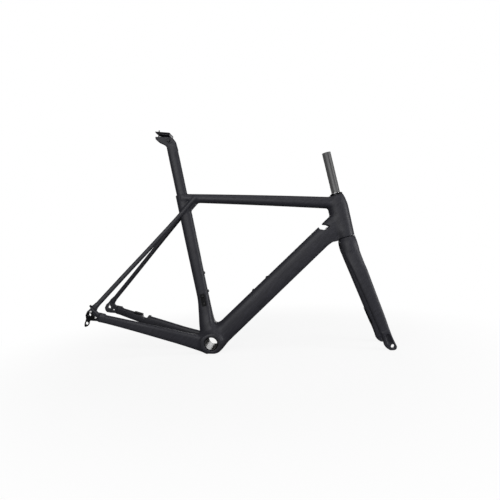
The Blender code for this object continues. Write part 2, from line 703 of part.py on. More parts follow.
WEDGE_WIDTH = 13 * MM
WEDGE_DEPTH = 8 * MM
WEDGE_LENGTH = 20 * MM
WEDGE_FROM_TOP = 8 * MM
WEDGE_SCREW = 4 * MM
wedge_front = -SEAT_BACK
wedge_middle = POST_DEPTH / 2 + GAP + WEDGE_DEPTH / 2
wedge_top = SEAT_TUBE_LENGTH - WEDGE_FROM_TOP
wedge_centre = on_seat_axis(wedge_top - WEDGE_LENGTH / 2) + wedge_front * wedge_middle
wedge_axes = (SEAT_BACK, LEFT, SEAT_UP)
seat_wedge = place_object("seatpost_wedge", block_mesh("seatpost_wedge", wedge_centre,
                                                       (WEDGE_DEPTH, WEDGE_WIDTH, WEDGE_LENGTH), wedge_axes),
                          FRAME, BLACK_ALLOY)
pocket_size = (WEDGE_DEPTH + 2 * GAP, WEDGE_WIDTH + 2 * GAP, 2 * WEDGE_LENGTH)
pocket_centre = wedge_centre + SEAT_UP * (WEDGE_LENGTH / 2 - GAP)
wedge_pocket = block_mesh("wedge_pocket", pocket_centre, pocket_size, wedge_axes)
cut(seat_tube, place_cutter("wedge_pocket", wedge_pocket))
screw_seat = wedge_centre + SEAT_UP * (WEDGE_LENGTH / 2 + GAP) + wedge_front * 1 * MM
far_below = screw_seat - SEAT_UP * 2 * OVERSHOOT
far_above = screw_seat + SEAT_UP * 2 * OVERSHOOT
cut(seat_wedge, rod_cutter("wedge_hole", far_below, far_above, WEDGE_SCREW / 2 + GAP, points=16))
WEDGE_HEAD = 6.4 * MM
WEDGE_HEAD_HEIGHT = 3 * MM
ACCESS_CLEARANCE = 1 * MM
cut(top_tube, rod_cutter("wedge_access", screw_seat - SEAT_UP * 2 * MM, far_above,
                         WEDGE_HEAD / 2 + ACCESS_CLEARANCE, points=16))
bolt("seatpost_wedge_bolt", screw_seat, SEAT_UP, WEDGE_HEAD, WEDGE_HEAD_HEIGHT, WEDGE_SCREW,
     WEDGE_LENGTH - 2 * MM, FRAME)


# Fork: crown, steerer, two blades and two dropouts

crown_top = AXLE_TO_CROWN
CROWN_CENTRE_HEIGHT = 25 * MM
crown_half_depth = BLADE_DEPTH_TOP / 2
CROWN_STATIONS = [
    (on_steering_axis(crown_top - CROWN_HEIGHT), crown_half_width, crown_half_depth + 2 * MM,
     crown_half_depth - 1 * MM, 3.0),
    (on_steering_axis(crown_top - CROWN_HEIGHT * 0.5), crown_half_width - CROWN_CHEEK,
     crown_half_depth + 2 * MM, crown_half_depth + 1 * MM, 2.7),
    (on_steering_axis(crown_top - CROWN_HEIGHT * 0.2), crown_half_width - CROWN_SHOULDER,
     crown_half_depth + 4 * MM, crown_half_depth + 4 * MM, 2.3),
    (on_steering_axis(crown_top), HEAD_TUBE_HALF_WIDTH_LOWER, crown_half_depth + 6 * MM,
     crown_half_depth + 6 * MM, 2.1),
]
crown = place_object("fork_crown", loft_mesh("fork_crown", CROWN_STATIONS), FORK, MATT_CARBON)
crown_solid = loft_cutter("crown_solid", CROWN_STATIONS, GAP)
arch_top = crown_top - CROWN_CENTRE_HEIGHT
arch_centre = on_steering_axis(arch_top - TYRE_GAP / 2)
ARCH_LENGTH = 120 * MM
arch_reach = STEER_BACK * ARCH_LENGTH
cut(crown, rod_cutter("tyre_arch", arch_centre - arch_reach, arch_centre + arch_reach, TYRE_GAP / 2))
tyre_slot = block_mesh("tyre_slot", arch_centre - STEER_UP * ARCH_LENGTH / 2,
                       (ARCH_LENGTH, TYRE_GAP, ARCH_LENGTH), (STEER_BACK, LEFT, STEER_UP))
cut(crown, place_cutter("tyre_slot", tyre_slot))

PLUG_DEPTH = 15 * MM
PLUG_RADIUS = 16 * MM
cut(crown, rod_cutter("steerer_socket", on_steering_axis(crown_top - PLUG_DEPTH - GAP),
                      on_steering_axis(crown_top + OVERSHOOT), PLUG_RADIUS + GAP))
steerer_radius = STEERER_DIAMETER / 2
steerer_bore = steerer_radius - STEERER_WALL
steerer_top = HEAD_UPPER_END + STEERER_ABOVE_HEAD - crown_top
race_radius = CROWN_RACE_DIAMETER / 2
RACE_LAND = 18 * MM
TAPER_END = 62 * MM
steerer_profile = [
    (steerer_radius, steerer_top),
    (steerer_radius, TAPER_END),
    (race_radius, RACE_LAND),
    (race_radius, GAP),
    (PLUG_RADIUS, GAP),
    (PLUG_RADIUS, -PLUG_DEPTH),
    (steerer_bore, -PLUG_DEPTH),
    (steerer_bore, steerer_top),
]
steerer_mesh = turned_mesh("steerer_tube", steerer_profile, on_steering_axis(crown_top), STEER_UP)
place_object("steerer_tube", steerer_mesh, FORK, RAW_CARBON)

front_inner = FRONT_HUB_WIDTH / 2
front_middle = front_inner + DROPOUT_THICKNESS / 2
blade_up = (STEER_UP * math.cos(BLADE_RAKE_ANGLE) + STEER_BACK * math.sin(BLADE_RAKE_ANGLE)).normalized()
blade_front = LEFT.cross(blade_up).normalized()
BLADE_AXLE_SETBACK = 7 * MM
blade_foot = FRONT_AXLE - blade_front * BLADE_AXLE_SETBACK
BLADE_END = 10 * MM
blade_length = (on_steering_axis(crown_top - CROWN_HEIGHT * 0.6) - blade_foot).dot(blade_up)
blade_top_offset = TYRE_GAP / 2 + BLADE_WIDTH_TOP / 2 + CROWN_CHEEK


def blade_stations(side):
    stations = []
    for share, spread in BLADE_SPREAD:
        centre = blade_foot + blade_up * (BLADE_END + (blade_length - BLADE_END) * share)
        centre.y = side * (blade_top_offset + (front_middle - blade_top_offset) * spread)
        depth = BLADE_DEPTH_TIP + (BLADE_DEPTH_TOP - BLADE_DEPTH_TIP) * share
        width = BLADE_WIDTH_TIP + (BLADE_WIDTH_TOP - BLADE_WIDTH_TIP) * share
        stations.append((centre, width / 2, depth / 2, depth / 2, 2.6))
    return stations


def tip_outline():
    """The fork end around the axle, with a tongue that goes up into the blade."""
    tongue = 52 * MM
    spots = arc(FRONT_AXLE, TIP_RIM, -150, 45, 14)
    heel = ((tongue, 5 * MM), (tongue, -13 * MM), (12 * MM, -22 * MM), (-2 * MM, -20 * MM))
    for up, front in heel:
        spot = FRONT_AXLE + blade_up * up + blade_front * front
        spots.append((spot.x, spot.z))
    return spots


for name, side in SIDES.items():
    tip_mesh = outline_mesh("fork_dropout_" + name, tip_outline(), side * front_inner,
                            side * DROPOUT_THICKNESS)
    tip_solid = place_cutter("fork_tip_solid_" + name,
                             outline_mesh("fork_tip_solid_" + name, tip_outline(), side * (front_inner - GAP),
                                          side * (DROPOUT_THICKNESS + 2 * GAP)))
    tip = place_object("fork_dropout_" + name, tip_mesh, FORK, BLACK_ALLOY)
    cut(tip, across_cutter("front_axle_" + name, FRONT_AXLE, AXLE_DIAMETER / 2 + GAP,
                           side * (front_inner - OVERSHOOT), side * (front_inner + 2 * OVERSHOOT)))
    blade = tube("fork_blade_" + name, blade_stations(side), TUBE_WALL, FORK, MATT_CARBON)
    cut(blade, crown_solid)
    cut(blade, tip_solid)

left_blade = blade_stations(SIDES["left"])
FRONT_PAD_SHARE = 0.8
front_pad_middle = middle_of(left_blade, 0, 1, FRONT_PAD_SHARE)
front_pad_surface = left_blade[0][2] + (left_blade[1][2] - left_blade[0][2]) * FRONT_PAD_SHARE
FRONT_PAD_WIDTH = 12 * MM
front_pad_centre = front_pad_middle - blade_front * (front_pad_surface + PAD_RISE - PAD_HEIGHT / 2)
blade_axes = (blade_up, LEFT, blade_front)
front_pad_mesh = block_mesh("front_brake_mount", front_pad_centre, (PAD_LENGTH, FRONT_PAD_WIDTH, PAD_HEIGHT),
                            blade_axes)
front_pad = place_object("front_brake_mount", front_pad_mesh, FORK, BLACK_ALLOY)
cut(front_pad, loft_cutter("left_blade_solid", left_blade, GAP))
for index, half in enumerate((-0.5, 0.5)):
    spot = front_pad_centre + blade_up * FLAT_MOUNT_SPACING * half
    cut(front_pad, rod_cutter("front_brake_hole_%d" % index, spot - blade_front * OVERSHOOT,
                              spot + blade_front * OVERSHOOT, MOUNT_BOLT / 2, points=16))


# Headset: two cartridge bearings, each an outer race, a ball cage and an inner race

RACE_THICKNESS = 2 * MM


def bearing(name, low, inner_diameter, outer_diameter):
    inner = inner_diameter / 2
    outer = outer_diameter / 2
    foot = on_steering_axis(low)
    rings = (
        ("outer_race", FRAME, outer - RACE_THICKNESS, outer, 0.0, BEARING_HEIGHT),
        ("inner_race", FORK, inner, inner + RACE_THICKNESS, 0.0, BEARING_HEIGHT),
        ("ball_cage", CAGES[name], inner + RACE_THICKNESS + GAP, outer - RACE_THICKNESS - GAP,
         BEARING_HEIGHT * 0.2, BEARING_HEIGHT * 0.8),
    )
    for piece, carrier_empty, start, end, under, over in rings:
        label = name + "_" + piece
        place_object(label, turned_mesh(label, ring_profile(start, end, under, over), foot, STEER_UP),
                     carrier_empty, BEARING_STEEL)


lower_bearing_low = HEAD_LOWER_END + BEARING_DEPTH
upper_bearing_low = HEAD_UPPER_END - BEARING_DEPTH - BEARING_HEIGHT
bearing("lower", lower_bearing_low, LOWER_BEARING_INNER, LOWER_BEARING_OUTER)
bearing("upper", upper_bearing_low, UPPER_BEARING_INNER, UPPER_BEARING_OUTER)

crown_race_profile = ring_profile(race_radius + GAP, LOWER_BEARING_INNER / 2 + RACE_THICKNESS, GAP,
                                  lower_bearing_low - crown_top - GAP)
crown_race_mesh = turned_mesh("crown_race", crown_race_profile, on_steering_axis(crown_top), STEER_UP)
place_object("crown_race", crown_race_mesh, FORK, BEARING_STEEL)
COMPRESSION_RISE = 2.5 * MM
COMPRESSION_FLANGE = 2 * MM
ring_low = upper_bearing_low + BEARING_HEIGHT + GAP
compression_outer = UPPER_BEARING_INNER / 2 + RACE_THICKNESS + COMPRESSION_FLANGE
compression_profile = ring_profile(steerer_radius + GAP, compression_outer, 0.0,
                                   BEARING_DEPTH + COMPRESSION_RISE)
place_object("compression_ring",
             turned_mesh("compression_ring", compression_profile, on_steering_axis(ring_low), STEER_UP),
             FORK, BEARING_STEEL)


# Seatpost: an oval post whose head reaches back under the saddle rails

post_foot = SEAT_TUBE_LENGTH - POST_INSERTION
post_top = SEAT_TUBE_LENGTH + POST_EXPOSED
half_post = POST_DEPTH / 2
post_rows = ((post_foot, half_post), (post_top - 40 * MM, half_post), (post_top - 24 * MM, 22 * MM),
             (post_top - 16 * MM, 34 * MM), (post_top - 8 * MM, 48 * MM), (post_top, 52 * MM))
POST_STATIONS = [(on_seat_axis(height), POST_WIDTH / 2, rear, half_post, 2.2) for height, rear in post_rows]
seatpost = place_object("seatpost", loft_mesh("seatpost", POST_STATIONS), POST, MATT_CARBON)
bore_depth = half_post - POST_WALL
bore_stations = [(on_seat_axis(height), POST_WIDTH / 2 - POST_WALL, bore_depth, bore_depth, 2.2)
                 for height in (post_foot - OVERSHOOT, post_top - 45 * MM)]
cut(seatpost, loft_cutter("post_bore", bore_stations, 0.0))


# Rail clamp: a barrel in the head, a cradle and a plate that hold the saddle rails, and two bolts

FORWARD = WORLD_AXES[0]
UP = WORLD_AXES[2]
barrel_radius = BARREL_DIAMETER / 2
BARREL_LENGTH = POST_WIDTH + 3 * MM
bolt_radius = CLAMP_BOLT_DIAMETER / 2
rail_height = 20 * MM
CRADLE_THICKNESS = 5.7 * MM
CLAMP_SETBACK = 17 * MM
clamp_middle = BARREL_CENTRE - FORWARD * CLAMP_SETBACK
clamp_width = RAIL_SPACING + 2 * RAIL_DIAMETER
barrel_hole = across_cutter("barrel_hole", BARREL_CENTRE, barrel_radius + GAP, -POST_WIDTH, POST_WIDTH)
cut(seatpost, barrel_hole)
SLOT_LENGTH = 9 * MM
slot_height = 16 * MM
SLOT_CLEARANCE = 1.5 * MM
front_slot = block_mesh("front_bolt_slot", BARREL_CENTRE + UP * slot_height / 2,
                        (SLOT_LENGTH, CLAMP_BOLT_DIAMETER + SLOT_CLEARANCE, slot_height), WORLD_AXES)
cut(seatpost, place_cutter("front_bolt_slot", front_slot))
barrel = place_object("clamp_barrel",
                      rod_mesh("clamp_barrel", BARREL_CENTRE - LEFT * BARREL_LENGTH / 2,
                               BARREL_CENTRE + LEFT * BARREL_LENGTH / 2, barrel_radius),
                      CLAMP, BLACK_ALLOY)

cradle_top = rail_height - GAP
cradle = place_object("rail_cradle",
                      block_mesh("rail_cradle", clamp_middle + UP * (cradle_top - CRADLE_THICKNESS / 2),
                                 (CLAMP_LENGTH, clamp_width, CRADLE_THICKNESS), WORLD_AXES),
                      CLAMP, BLACK_ALLOY)
plate_low = rail_height + GAP
plate_centre = clamp_middle + UP * (plate_low + CLAMP_PLATE_THICKNESS / 2)
plate = place_object("rail_clamp_plate",
                     block_mesh("rail_clamp_plate", plate_centre,
                                (CLAMP_LENGTH, clamp_width, CLAMP_PLATE_THICKNESS), WORLD_AXES),
                     CLAMP, BLACK_ALLOY)
for name, side in SIDES.items():
    rail = clamp_middle + UP * rail_height + LEFT * side * RAIL_SPACING / 2
    groove = rod_cutter("rail_groove_" + name, rail - FORWARD * CLAMP_LENGTH, rail + FORWARD * CLAMP_LENGTH,
                        RAIL_DIAMETER / 2)
    cut(cradle, groove)
    cut(plate, groove)

front_seat = BARREL_CENTRE + UP * (plate_low + CLAMP_PLATE_THICKNESS + GAP)
front_hole = rod_cutter("front_bolt_hole", BARREL_CENTRE - UP * barrel_radius / 2,
                        front_seat + UP * OVERSHOOT, bolt_radius + GAP, points=16)
for piece in (barrel, cradle, plate):
    cut(piece, front_hole)
CLAMP_HEAD = 8.5 * MM
CLAMP_HEAD_HEIGHT = 4 * MM
bolt("front_clamp_bolt", front_seat, UP, CLAMP_HEAD, CLAMP_HEAD_HEIGHT, CLAMP_BOLT_DIAMETER,
     plate_low + CLAMP_PLATE_THICKNESS + barrel_radius * 0.3, CLAMP)

TILT_BOLT_SETBACK = 37 * MM
TILT_SEAT_DROP = 13 * MM
tilt_seat = BARREL_CENTRE - FORWARD * TILT_BOLT_SETBACK - UP * TILT_SEAT_DROP
TILT_SHANK = 4 * MM
TILT_HEAD = 7.5 * MM
tilt_slot_size = (SLOT_LENGTH + 1 * MM, TILT_SHANK + 2 * MM, 2 * OVERSHOOT)
tilt_slot_mesh = block_mesh("tilt_slot", tilt_seat + UP * (TILT_SEAT_DROP + rail_height), tilt_slot_size,
                            WORLD_AXES)
tilt_slot = place_cutter("tilt_slot", tilt_slot_mesh)
cut(cradle, tilt_slot)
cut(plate, tilt_slot)
cut(seatpost, rod_cutter("tilt_hole", tilt_seat - UP * OVERSHOOT, tilt_seat + UP * OVERSHOOT,
                         TILT_SHANK / 2 + GAP, points=16))
cut(seatpost, rod_cutter("tilt_counterbore", tilt_seat - UP * OVERSHOOT, tilt_seat + UP * GAP,
                         TILT_HEAD / 2 + 1 * MM))
TILT_STAND_OUT = 7 * MM
tilt_length = TILT_SEAT_DROP + plate_low + CLAMP_PLATE_THICKNESS + TILT_STAND_OUT
bolt("tilt_bolt", tilt_seat, -UP, TILT_HEAD, CLAMP_HEAD_HEIGHT, TILT_SHANK, tilt_length, POST)
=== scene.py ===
import json
import math

import bpy
import numpy as np
import openvdb
from mathutils import Matrix, Vector


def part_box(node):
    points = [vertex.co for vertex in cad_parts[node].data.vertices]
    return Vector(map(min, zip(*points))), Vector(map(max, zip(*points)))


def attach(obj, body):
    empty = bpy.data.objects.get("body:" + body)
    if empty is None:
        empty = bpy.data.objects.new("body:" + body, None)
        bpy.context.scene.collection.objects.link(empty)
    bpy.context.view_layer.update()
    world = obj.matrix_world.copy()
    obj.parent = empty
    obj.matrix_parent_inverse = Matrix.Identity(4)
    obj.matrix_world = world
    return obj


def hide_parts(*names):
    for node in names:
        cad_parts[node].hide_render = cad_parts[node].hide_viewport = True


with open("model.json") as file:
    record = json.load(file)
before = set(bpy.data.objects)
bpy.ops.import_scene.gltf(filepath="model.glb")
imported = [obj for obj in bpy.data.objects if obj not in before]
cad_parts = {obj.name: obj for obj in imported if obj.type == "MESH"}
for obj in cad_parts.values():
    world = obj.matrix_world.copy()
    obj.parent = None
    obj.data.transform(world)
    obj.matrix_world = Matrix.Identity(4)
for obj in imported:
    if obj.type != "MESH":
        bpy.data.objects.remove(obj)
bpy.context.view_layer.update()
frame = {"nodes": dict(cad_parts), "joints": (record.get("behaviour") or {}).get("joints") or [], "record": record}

# The stage: a white studio floor that touches the bottom bracket shell and the fork tips, so that
# it lies eight degrees off the line between the axles. It glows white for the camera away from the
# frameset and shows a soft shadow close to it. Broad lamps hang above, in front, beside the head
# tube and behind.

scene = bpy.context.scene
scene.view_settings.view_transform = "Standard"
joints = {joint["name"]: joint for joint in frame["joints"]}
mounts = {mount["name"]: mount for mount in frame["record"]["mounts"]}
axle_height = 0.062
tip_round = 0.0125
tip_low, tip_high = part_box("fork_dropout_right")
front_axle = Vector((tip_high.x - tip_round, 0.0, axle_height))
rear_axle = Vector((mounts["rear_dropout_right_inner"]["pos_m"][0], 0.0, axle_height))
rest_rear = Vector((0.004, 0.0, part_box("bottom_bracket_shell")[0].z - 0.004))
rest_front = Vector((front_axle.x + 0.003, 0.0, tip_low.z))
floor_slope = math.atan2(rest_front.z - rest_rear.z, rest_front.x - rest_rear.x)

floor_mesh = bpy.data.meshes.new("floor")
reach = 14.0
corners = [(-reach, -reach, 0), (reach, -reach, 0), (reach, reach, 0), (-reach, reach, 0)]
floor_mesh.from_pydata(corners, [], [(0, 1, 2, 3)])
floor = bpy.data.objects.new("floor", floor_mesh)
floor.matrix_world = Matrix.Translation(rest_rear) @ Matrix.Rotation(-floor_slope, 4, "Y")
scene.collection.objects.link(floor)

paper = bpy.data.materials.new("white_paper")
paper.use_nodes = True
nodes = paper.node_tree.nodes
links = paper.node_tree.links
nodes.clear()
output = nodes.new("ShaderNodeOutputMaterial")
mix = nodes.new("ShaderNodeMixShader")
matt = nodes.new("ShaderNodeBsdfDiffuse")
bounce = nodes.new("ShaderNodeMix")
bounce.data_type = "RGBA"
bounce.inputs["A"].default_value = (0.16, 0.16, 0.16, 1.0)
bounce.inputs["B"].default_value = (0.86, 0.86, 0.86, 1.0)
glow = nodes.new("ShaderNodeEmission")
glow.inputs["Strength"].default_value = 1.0
path = nodes.new("ShaderNodeLightPath")
place = nodes.new("ShaderNodeTexCoord")
centre = nodes.new("ShaderNodeVectorMath")
centre.operation = "DISTANCE"
centre.inputs[1].default_value = (0.15, 0.0, 0.0)
far = nodes.new("ShaderNodeMapRange")
far.interpolation_type = "SMOOTHSTEP"
far.inputs["From Min"].default_value = 0.45
far.inputs["From Max"].default_value = 1.1
far.inputs["To Min"].default_value = 0.88
far.inputs["To Max"].default_value = 1.0
share = nodes.new("ShaderNodeMath")
share.operation = "MULTIPLY"
links.new(place.outputs["Object"], centre.inputs[0])
links.new(centre.outputs["Value"], far.inputs["Value"])
links.new(far.outputs["Result"], share.inputs[0])
links.new(path.outputs["Is Camera Ray"], share.inputs[1])
links.new(path.outputs["Is Camera Ray"], bounce.inputs["Factor"])
links.new(bounce.outputs["Result"], matt.inputs["Color"])
links.new(share.outputs[0], mix.inputs[0])
links.new(matt.outputs[0], mix.inputs[1])
links.new(glow.outputs[0], mix.inputs[2])
links.new(mix.outputs[0], output.inputs["Surface"])
floor_mesh.materials.append(paper)

world = bpy.data.worlds.new("studio")
scene.world = world
world.use_nodes = True
nodes = world.node_tree.nodes
links = world.node_tree.links
nodes.clear()
output = nodes.new("ShaderNodeOutputWorld")
sky = nodes.new("ShaderNodeBackground")
path = nodes.new("ShaderNodeLightPath")
strength = nodes.new("ShaderNodeMapRange")
strength.inputs["To Min"].default_value = 0.08
strength.inputs["To Max"].default_value = 1.0
sky.inputs["Color"].default_value = (1.0, 1.0, 1.0, 1.0)
links.new(path.outputs["Is Camera Ray"], strength.inputs["Value"])
links.new(strength.outputs["Result"], sky.inputs["Strength"])
links.new(sky.outputs[0], output.inputs["Surface"])


def lamp(name, place, aim, size, watts):
    """A soft rectangular lamp that faces a point."""
    light = bpy.data.lights.new(name, "AREA")
    light.shape = "RECTANGLE"
    light.size = size[0]
    light.size_y = size[1]
    light.energy = watts
    holder = bpy.data.objects.new(name, light)
    holder.location = place
    holder.rotation_euler = (Vector(aim) - Vector(place)).to_track_quat("-Z", "Y").to_euler()
    scene.collection.objects.link(holder)


lamp("overhead", (0.1, -0.6, 2.1), (0.1, 0.0, 0.25), (2.4, 1.0), 12.0)
lamp("front", (-0.7, -2.4, 0.85), (0.15, 0.0, 0.4), (1.6, 1.0), 31.0)
lamp("beside_head", (1.8, -0.6, 0.65), (0.4, 0.0, 0.45), (0.5, 1.0), 20.0)
lamp("behind", (0.5, 2.6, 0.75), (0.15, 0.0, 0.35), (1.6, 1.0), 26.0)

lens = bpy.data.cameras.new("camera")
lens.sensor_width = 36.0
lens.lens = 28.892
camera = bpy.data.objects.new("camera", lens)
turn = (math.radians(3.519), math.radians(88.483), math.radians(5.419))
camera.matrix_world = (Matrix.Translation((0.1811, -1.3645, 0.3592))
                       @ Matrix.Rotation(turn[0], 4, "Z") @ Matrix.Rotation(turn[1], 4, "X")
                       @ Matrix.Rotation(turn[2], 4, "Z"))
scene.collection.objects.link(camera)
scene.camera = camera

# The front triangle of the frame: one carbon moulding with a deep down tube, 68 mm by 48 to 66 mm,
# a slim top tube, an oval seat tube 41 mm by 30 mm that widens to 36 mm at its top, a tapered head
# tube 143 mm long and a bulge round the bottom bracket. It is a distance field on a grid, so that
# the tubes flow together with the fillets of a moulding. The finish is a matt clear coat over
# charcoal fibre, with faint fibre lines and cloudy patches of sheen.


def carbon_finish(name, dark, light, roughness, lean, stretch):
    """Fibre lines, dark to light, that lean in the side plane under a coat with cloudy sheen."""
    material = bpy.data.materials.new(name)
    material.use_nodes = True
    nodes = material.node_tree.nodes
    links = material.node_tree.links
    shader = nodes["Principled BSDF"]
    place = nodes.new("ShaderNodeTexCoord")
    lay = nodes.new("ShaderNodeMapping")
    lay.vector_type = "TEXTURE"
    lay.inputs["Rotation"].default_value = (0.0, lean, 0.0)
    lay.inputs["Scale"].default_value = (1.0, 1.0, stretch)
    fibre = nodes.new("ShaderNodeTexNoise")
    fibre.inputs["Scale"].default_value = 260.0
    fibre.inputs["Detail"].default_value = 3.0
    cloud = nodes.new("ShaderNodeTexNoise")
    cloud.inputs["Scale"].default_value = 11.0
    cloud.inputs["Detail"].default_value = 3.0
    tone = nodes.new("ShaderNodeValToRGB")
    tone.color_ramp.elements[0].position = 0.34
    tone.color_ramp.elements[0].color = (*dark, 1.0)
    tone.color_ramp.elements[1].position = 0.66
    tone.color_ramp.elements[1].color = (*light, 1.0)
    sheen = nodes.new("ShaderNodeMapRange")
    sheen.inputs["To Min"].default_value = roughness - 0.07
    sheen.inputs["To Max"].default_value = roughness + 0.07
    bump = nodes.new("ShaderNodeBump")
    bump.inputs["Strength"].default_value = 0.06
    bump.inputs["Distance"].default_value = 0.0003
    links.new(place.outputs["Object"], lay.inputs["Vector"])
    links.new(lay.outputs["Vector"], fibre.inputs["Vector"])
    links.new(place.outputs["Object"], cloud.inputs["Vector"])
    links.new(fibre.outputs["Fac"], tone.inputs["Fac"])
    links.new(tone.outputs["Color"], shader.inputs["Base Color"])
    links.new(cloud.outputs["Fac"], sheen.inputs["Value"])
    links.new(sheen.outputs["Result"], shader.inputs["Roughness"])
    links.new(fibre.outputs["Fac"], bump.inputs["Height"])
    links.new(bump.outputs["Normal"], shader.inputs["Normal"])
    shader.inputs["Specular IOR Level"].default_value = 0.32
    return material


matt_carbon = carbon_finish("matt_carbon", (0.020, 0.020, 0.0255), (0.030, 0.030, 0.0385), 0.5,
                            math.radians(40), 6.0)


def curve_through(share, knots, values):
    """A smooth curve through a few values that stays between them and flat beyond their ends."""
    knots = np.asarray(knots, dtype=np.float32)
    values = np.asarray(values, dtype=np.float32)
    rise = np.diff(values) / np.diff(knots)
    before, after = rise[:-1], rise[1:]
    same_way = before * after > 0
    inner = np.where(same_way, 2 * before * after / np.where(same_way, before + after, 1), 0)
    slopes = np.concatenate((rise[:1], inner, rise[-1:]))
    spot = np.clip(np.searchsorted(knots, share) - 1, 0, len(knots) - 2)
    span = knots[spot + 1] - knots[spot]
    u = np.clip((share - knots[spot]) / span, 0.0, 1.0)
    rest = 1.0 - u
    return (values[spot] * rest * rest * (1 + 2 * u) + values[spot + 1] * u * u * (3 - 2 * u)
            + span * u * rest * (slopes[spot] * rest - slopes[spot + 1] * u))


def sizes_at(*knots):
    """Makes sizes along a tube that pass smoothly through values at these shares of its length."""
    return lambda *values: lambda share: curve_through(share, knots, values)


def meet(first, second):
    """Distance from what two solids have in common, true outside the corner between them."""
    beyond = np.hypot(np.maximum(first, 0), np.maximum(second, 0))
    return np.minimum(np.maximum(first, second), 0) + beyond


def tube_distance(grid, start, end, half_width, over, under, power, sideways=0.0):
    """Distance from a tube in the side plane; a size is a number or a function of length share."""
    x, y, z = grid
    length = (end - start).length
    along = (end - start) / length
    height = (x - start.x) * along.x + (z - start.z) * along.z
    depth = (z - start.z) * along.x - (x - start.x) * along.z
    share = np.clip(height / length, 0.0, 1.0)
    given = (half_width, over, under, sideways)
    half_width, over, under, sideways = (size(share) if callable(size) else size for size in given)
    half_depth = np.where(depth > 0, over, under)
    deep = np.abs(depth) / half_depth
    wide = np.abs(np.abs(y) - sideways) / half_width
    deep_part = deep ** power
    wide_part = wide ** power
    level = np.maximum(deep_part + wide_part, 1e-4) ** (1 / power)
    slope = np.sqrt((deep_part / np.maximum(deep, 1e-3) / half_depth) ** 2
                    + (wide_part / np.maximum(wide, 1e-3) / half_width) ** 2) * level ** (1 - power)
    middle = -np.minimum(half_depth, half_width) * (1 - level)
    wall = np.where(level < 0.3, middle, (level - 1) / np.maximum(slope, 1.0))
    ends = np.maximum(-height, height - length)
    return meet(wall, ends)


def outline_distance(grid, points, middle, half):
    """Distance from a flat outline in the side plane with a thickness, on both sides."""
    x, y, z = grid
    nearest = np.full(np.broadcast_shapes(x.shape, z.shape), 1e3, dtype=np.float32)
    inside = np.zeros(nearest.shape, dtype=bool)
    for (x0, z0), (x1, z1) in zip(points, points[1:] + points[:1]):
        run, rise = x1 - x0, z1 - z0
        u = np.clip(((x - x0) * run + (z - z0) * rise) / (run * run + rise * rise), 0, 1)
        nearest = np.minimum(nearest, np.hypot(x - x0 - run * u, z - z0 - rise * u))
        if rise:
            inside ^= ((z0 > z) != (z1 > z)) & (x < x0 + run * (z - z0) / rise)
    flat = np.where(inside, -nearest, nearest)
    side = np.abs(np.abs(y) - middle) - half
    return meet(flat, side)


def across_distance(grid, place, radius, inner, outer):
    """Distance from round bars straight across, on both sides, between two sideways places."""
    x, y, z = grid
    side = np.abs(np.abs(y) - (inner + outer) / 2) - (outer - inner) / 2
    return np.maximum(np.hypot(x - place.x, z - place.z) - radius, side)


def bar_distance(grid, start, end, radius):
    """Distance from a bar with round ends between two points."""
    x, y, z = grid
    run = end - start
    share = np.clip(((x - start.x) * run.x + (z - start.z) * run.z) / run.length_squared, 0, 1)
    return np.sqrt((x - start.x - run.x * share) ** 2 + (y - start.y - run.y * share) ** 2
                   + (z - start.z - run.z * share) ** 2) - radius


def join(first, second, fillet):
    """Two distances as one solid, with a fillet in the corner between them."""
    h = np.clip(0.5 + 0.5 * (second - first) / fillet, 0, 1)
    return second + (first - second) * h - fillet * h * (1 - h)


def take_away(first, second, edge):
    """The first distance without the second, with a rounded edge."""
    return -join(-first, second, edge)


def grid_over(low, high, step):
    """The x, y and z places of a box of points, ready to broadcast."""
    spans = [np.arange(a, b, step, dtype=np.float32) for a, b in zip(low, high)]
    return np.meshgrid(*spans, indexing="ij", sparse=True)


def skin(name, field, low, step, material):
    """The surface where a distance field is zero, as a smooth mesh that faces outwards."""
    volume = openvdb.FloatGrid(1.0)
    volume.copyFromArray(np.ascontiguousarray(field, dtype=np.float32))
    points, quads = volume.convertToQuads(0.0)
    points = points * step + np.array(low)
    a, b, c, d = (points[quads[:, corner]] for corner in range(4))
    if np.einsum("ij,ij->i", np.cross(c - a, d - b), a).sum() < 0:
        quads = quads[:, ::-1]
    mesh = bpy.data.meshes.new(name)
    mesh.from_pydata(points.tolist(), [], quads.tolist())
    mesh.shade_smooth()
    mesh.materials.append(material)
    piece = bpy.data.objects.new(name, mesh)
    scene.collection.objects.link(piece)
    return piece


steer_up = Vector(joints["steering"]["axis"])
head_low = Vector(joints["steering"]["pos_m"])
head_high = Vector(joints["upper_cage_roll"]["pos_m"])
seat_up = Vector(joints["seatpost_slide"]["axis"])
seat_back = Vector((-seat_up.z, 0.0, seat_up.x))
down_foot = Vector((0.0, 0.0, -0.004))
down_head = head_low.lerp(head_high, 0.44)
shell_bore = 0.0205
sleeve_wall = 0.003
sleeve_bond = 0.0002
race_seat = 0.0263
steerer_room = 0.0182
axle_hole = 0.0061
dropout_side = 0.0755
notch_place = (-0.261, 0.0505)
head_size = sizes_at(0.0, 0.12, 0.35, 0.7, 0.88, 1.0)
seat_size = sizes_at(0.0, 0.1, 0.18, 0.3, 0.75, 1.0)
dropout_plate = [(rear_axle.x + x, rear_axle.z + z) for x, z in (
    (-0.0150, -0.0040), (-0.0110, 0.0080), (-0.0020, 0.0175), (0.0035, 0.0270), (0.0140, 0.0360),
    (0.0195, 0.0300), (0.0163, 0.0155), (0.0225, 0.0076), (0.0480, 0.0050), (0.0500, -0.0180),
    (0.0200, -0.0185), (0.0060, -0.0190), (-0.0060, -0.0180), (-0.0120, -0.0130))]
port_outline = [(0.3208, 0.4215), (0.3227, 0.4152), (0.3421, 0.4131), (0.3463, 0.4226),
                (0.3550, 0.4265), (0.3455, 0.4310), (0.3318, 0.4303), (0.3190, 0.4440),
                (0.3060, 0.4330)]
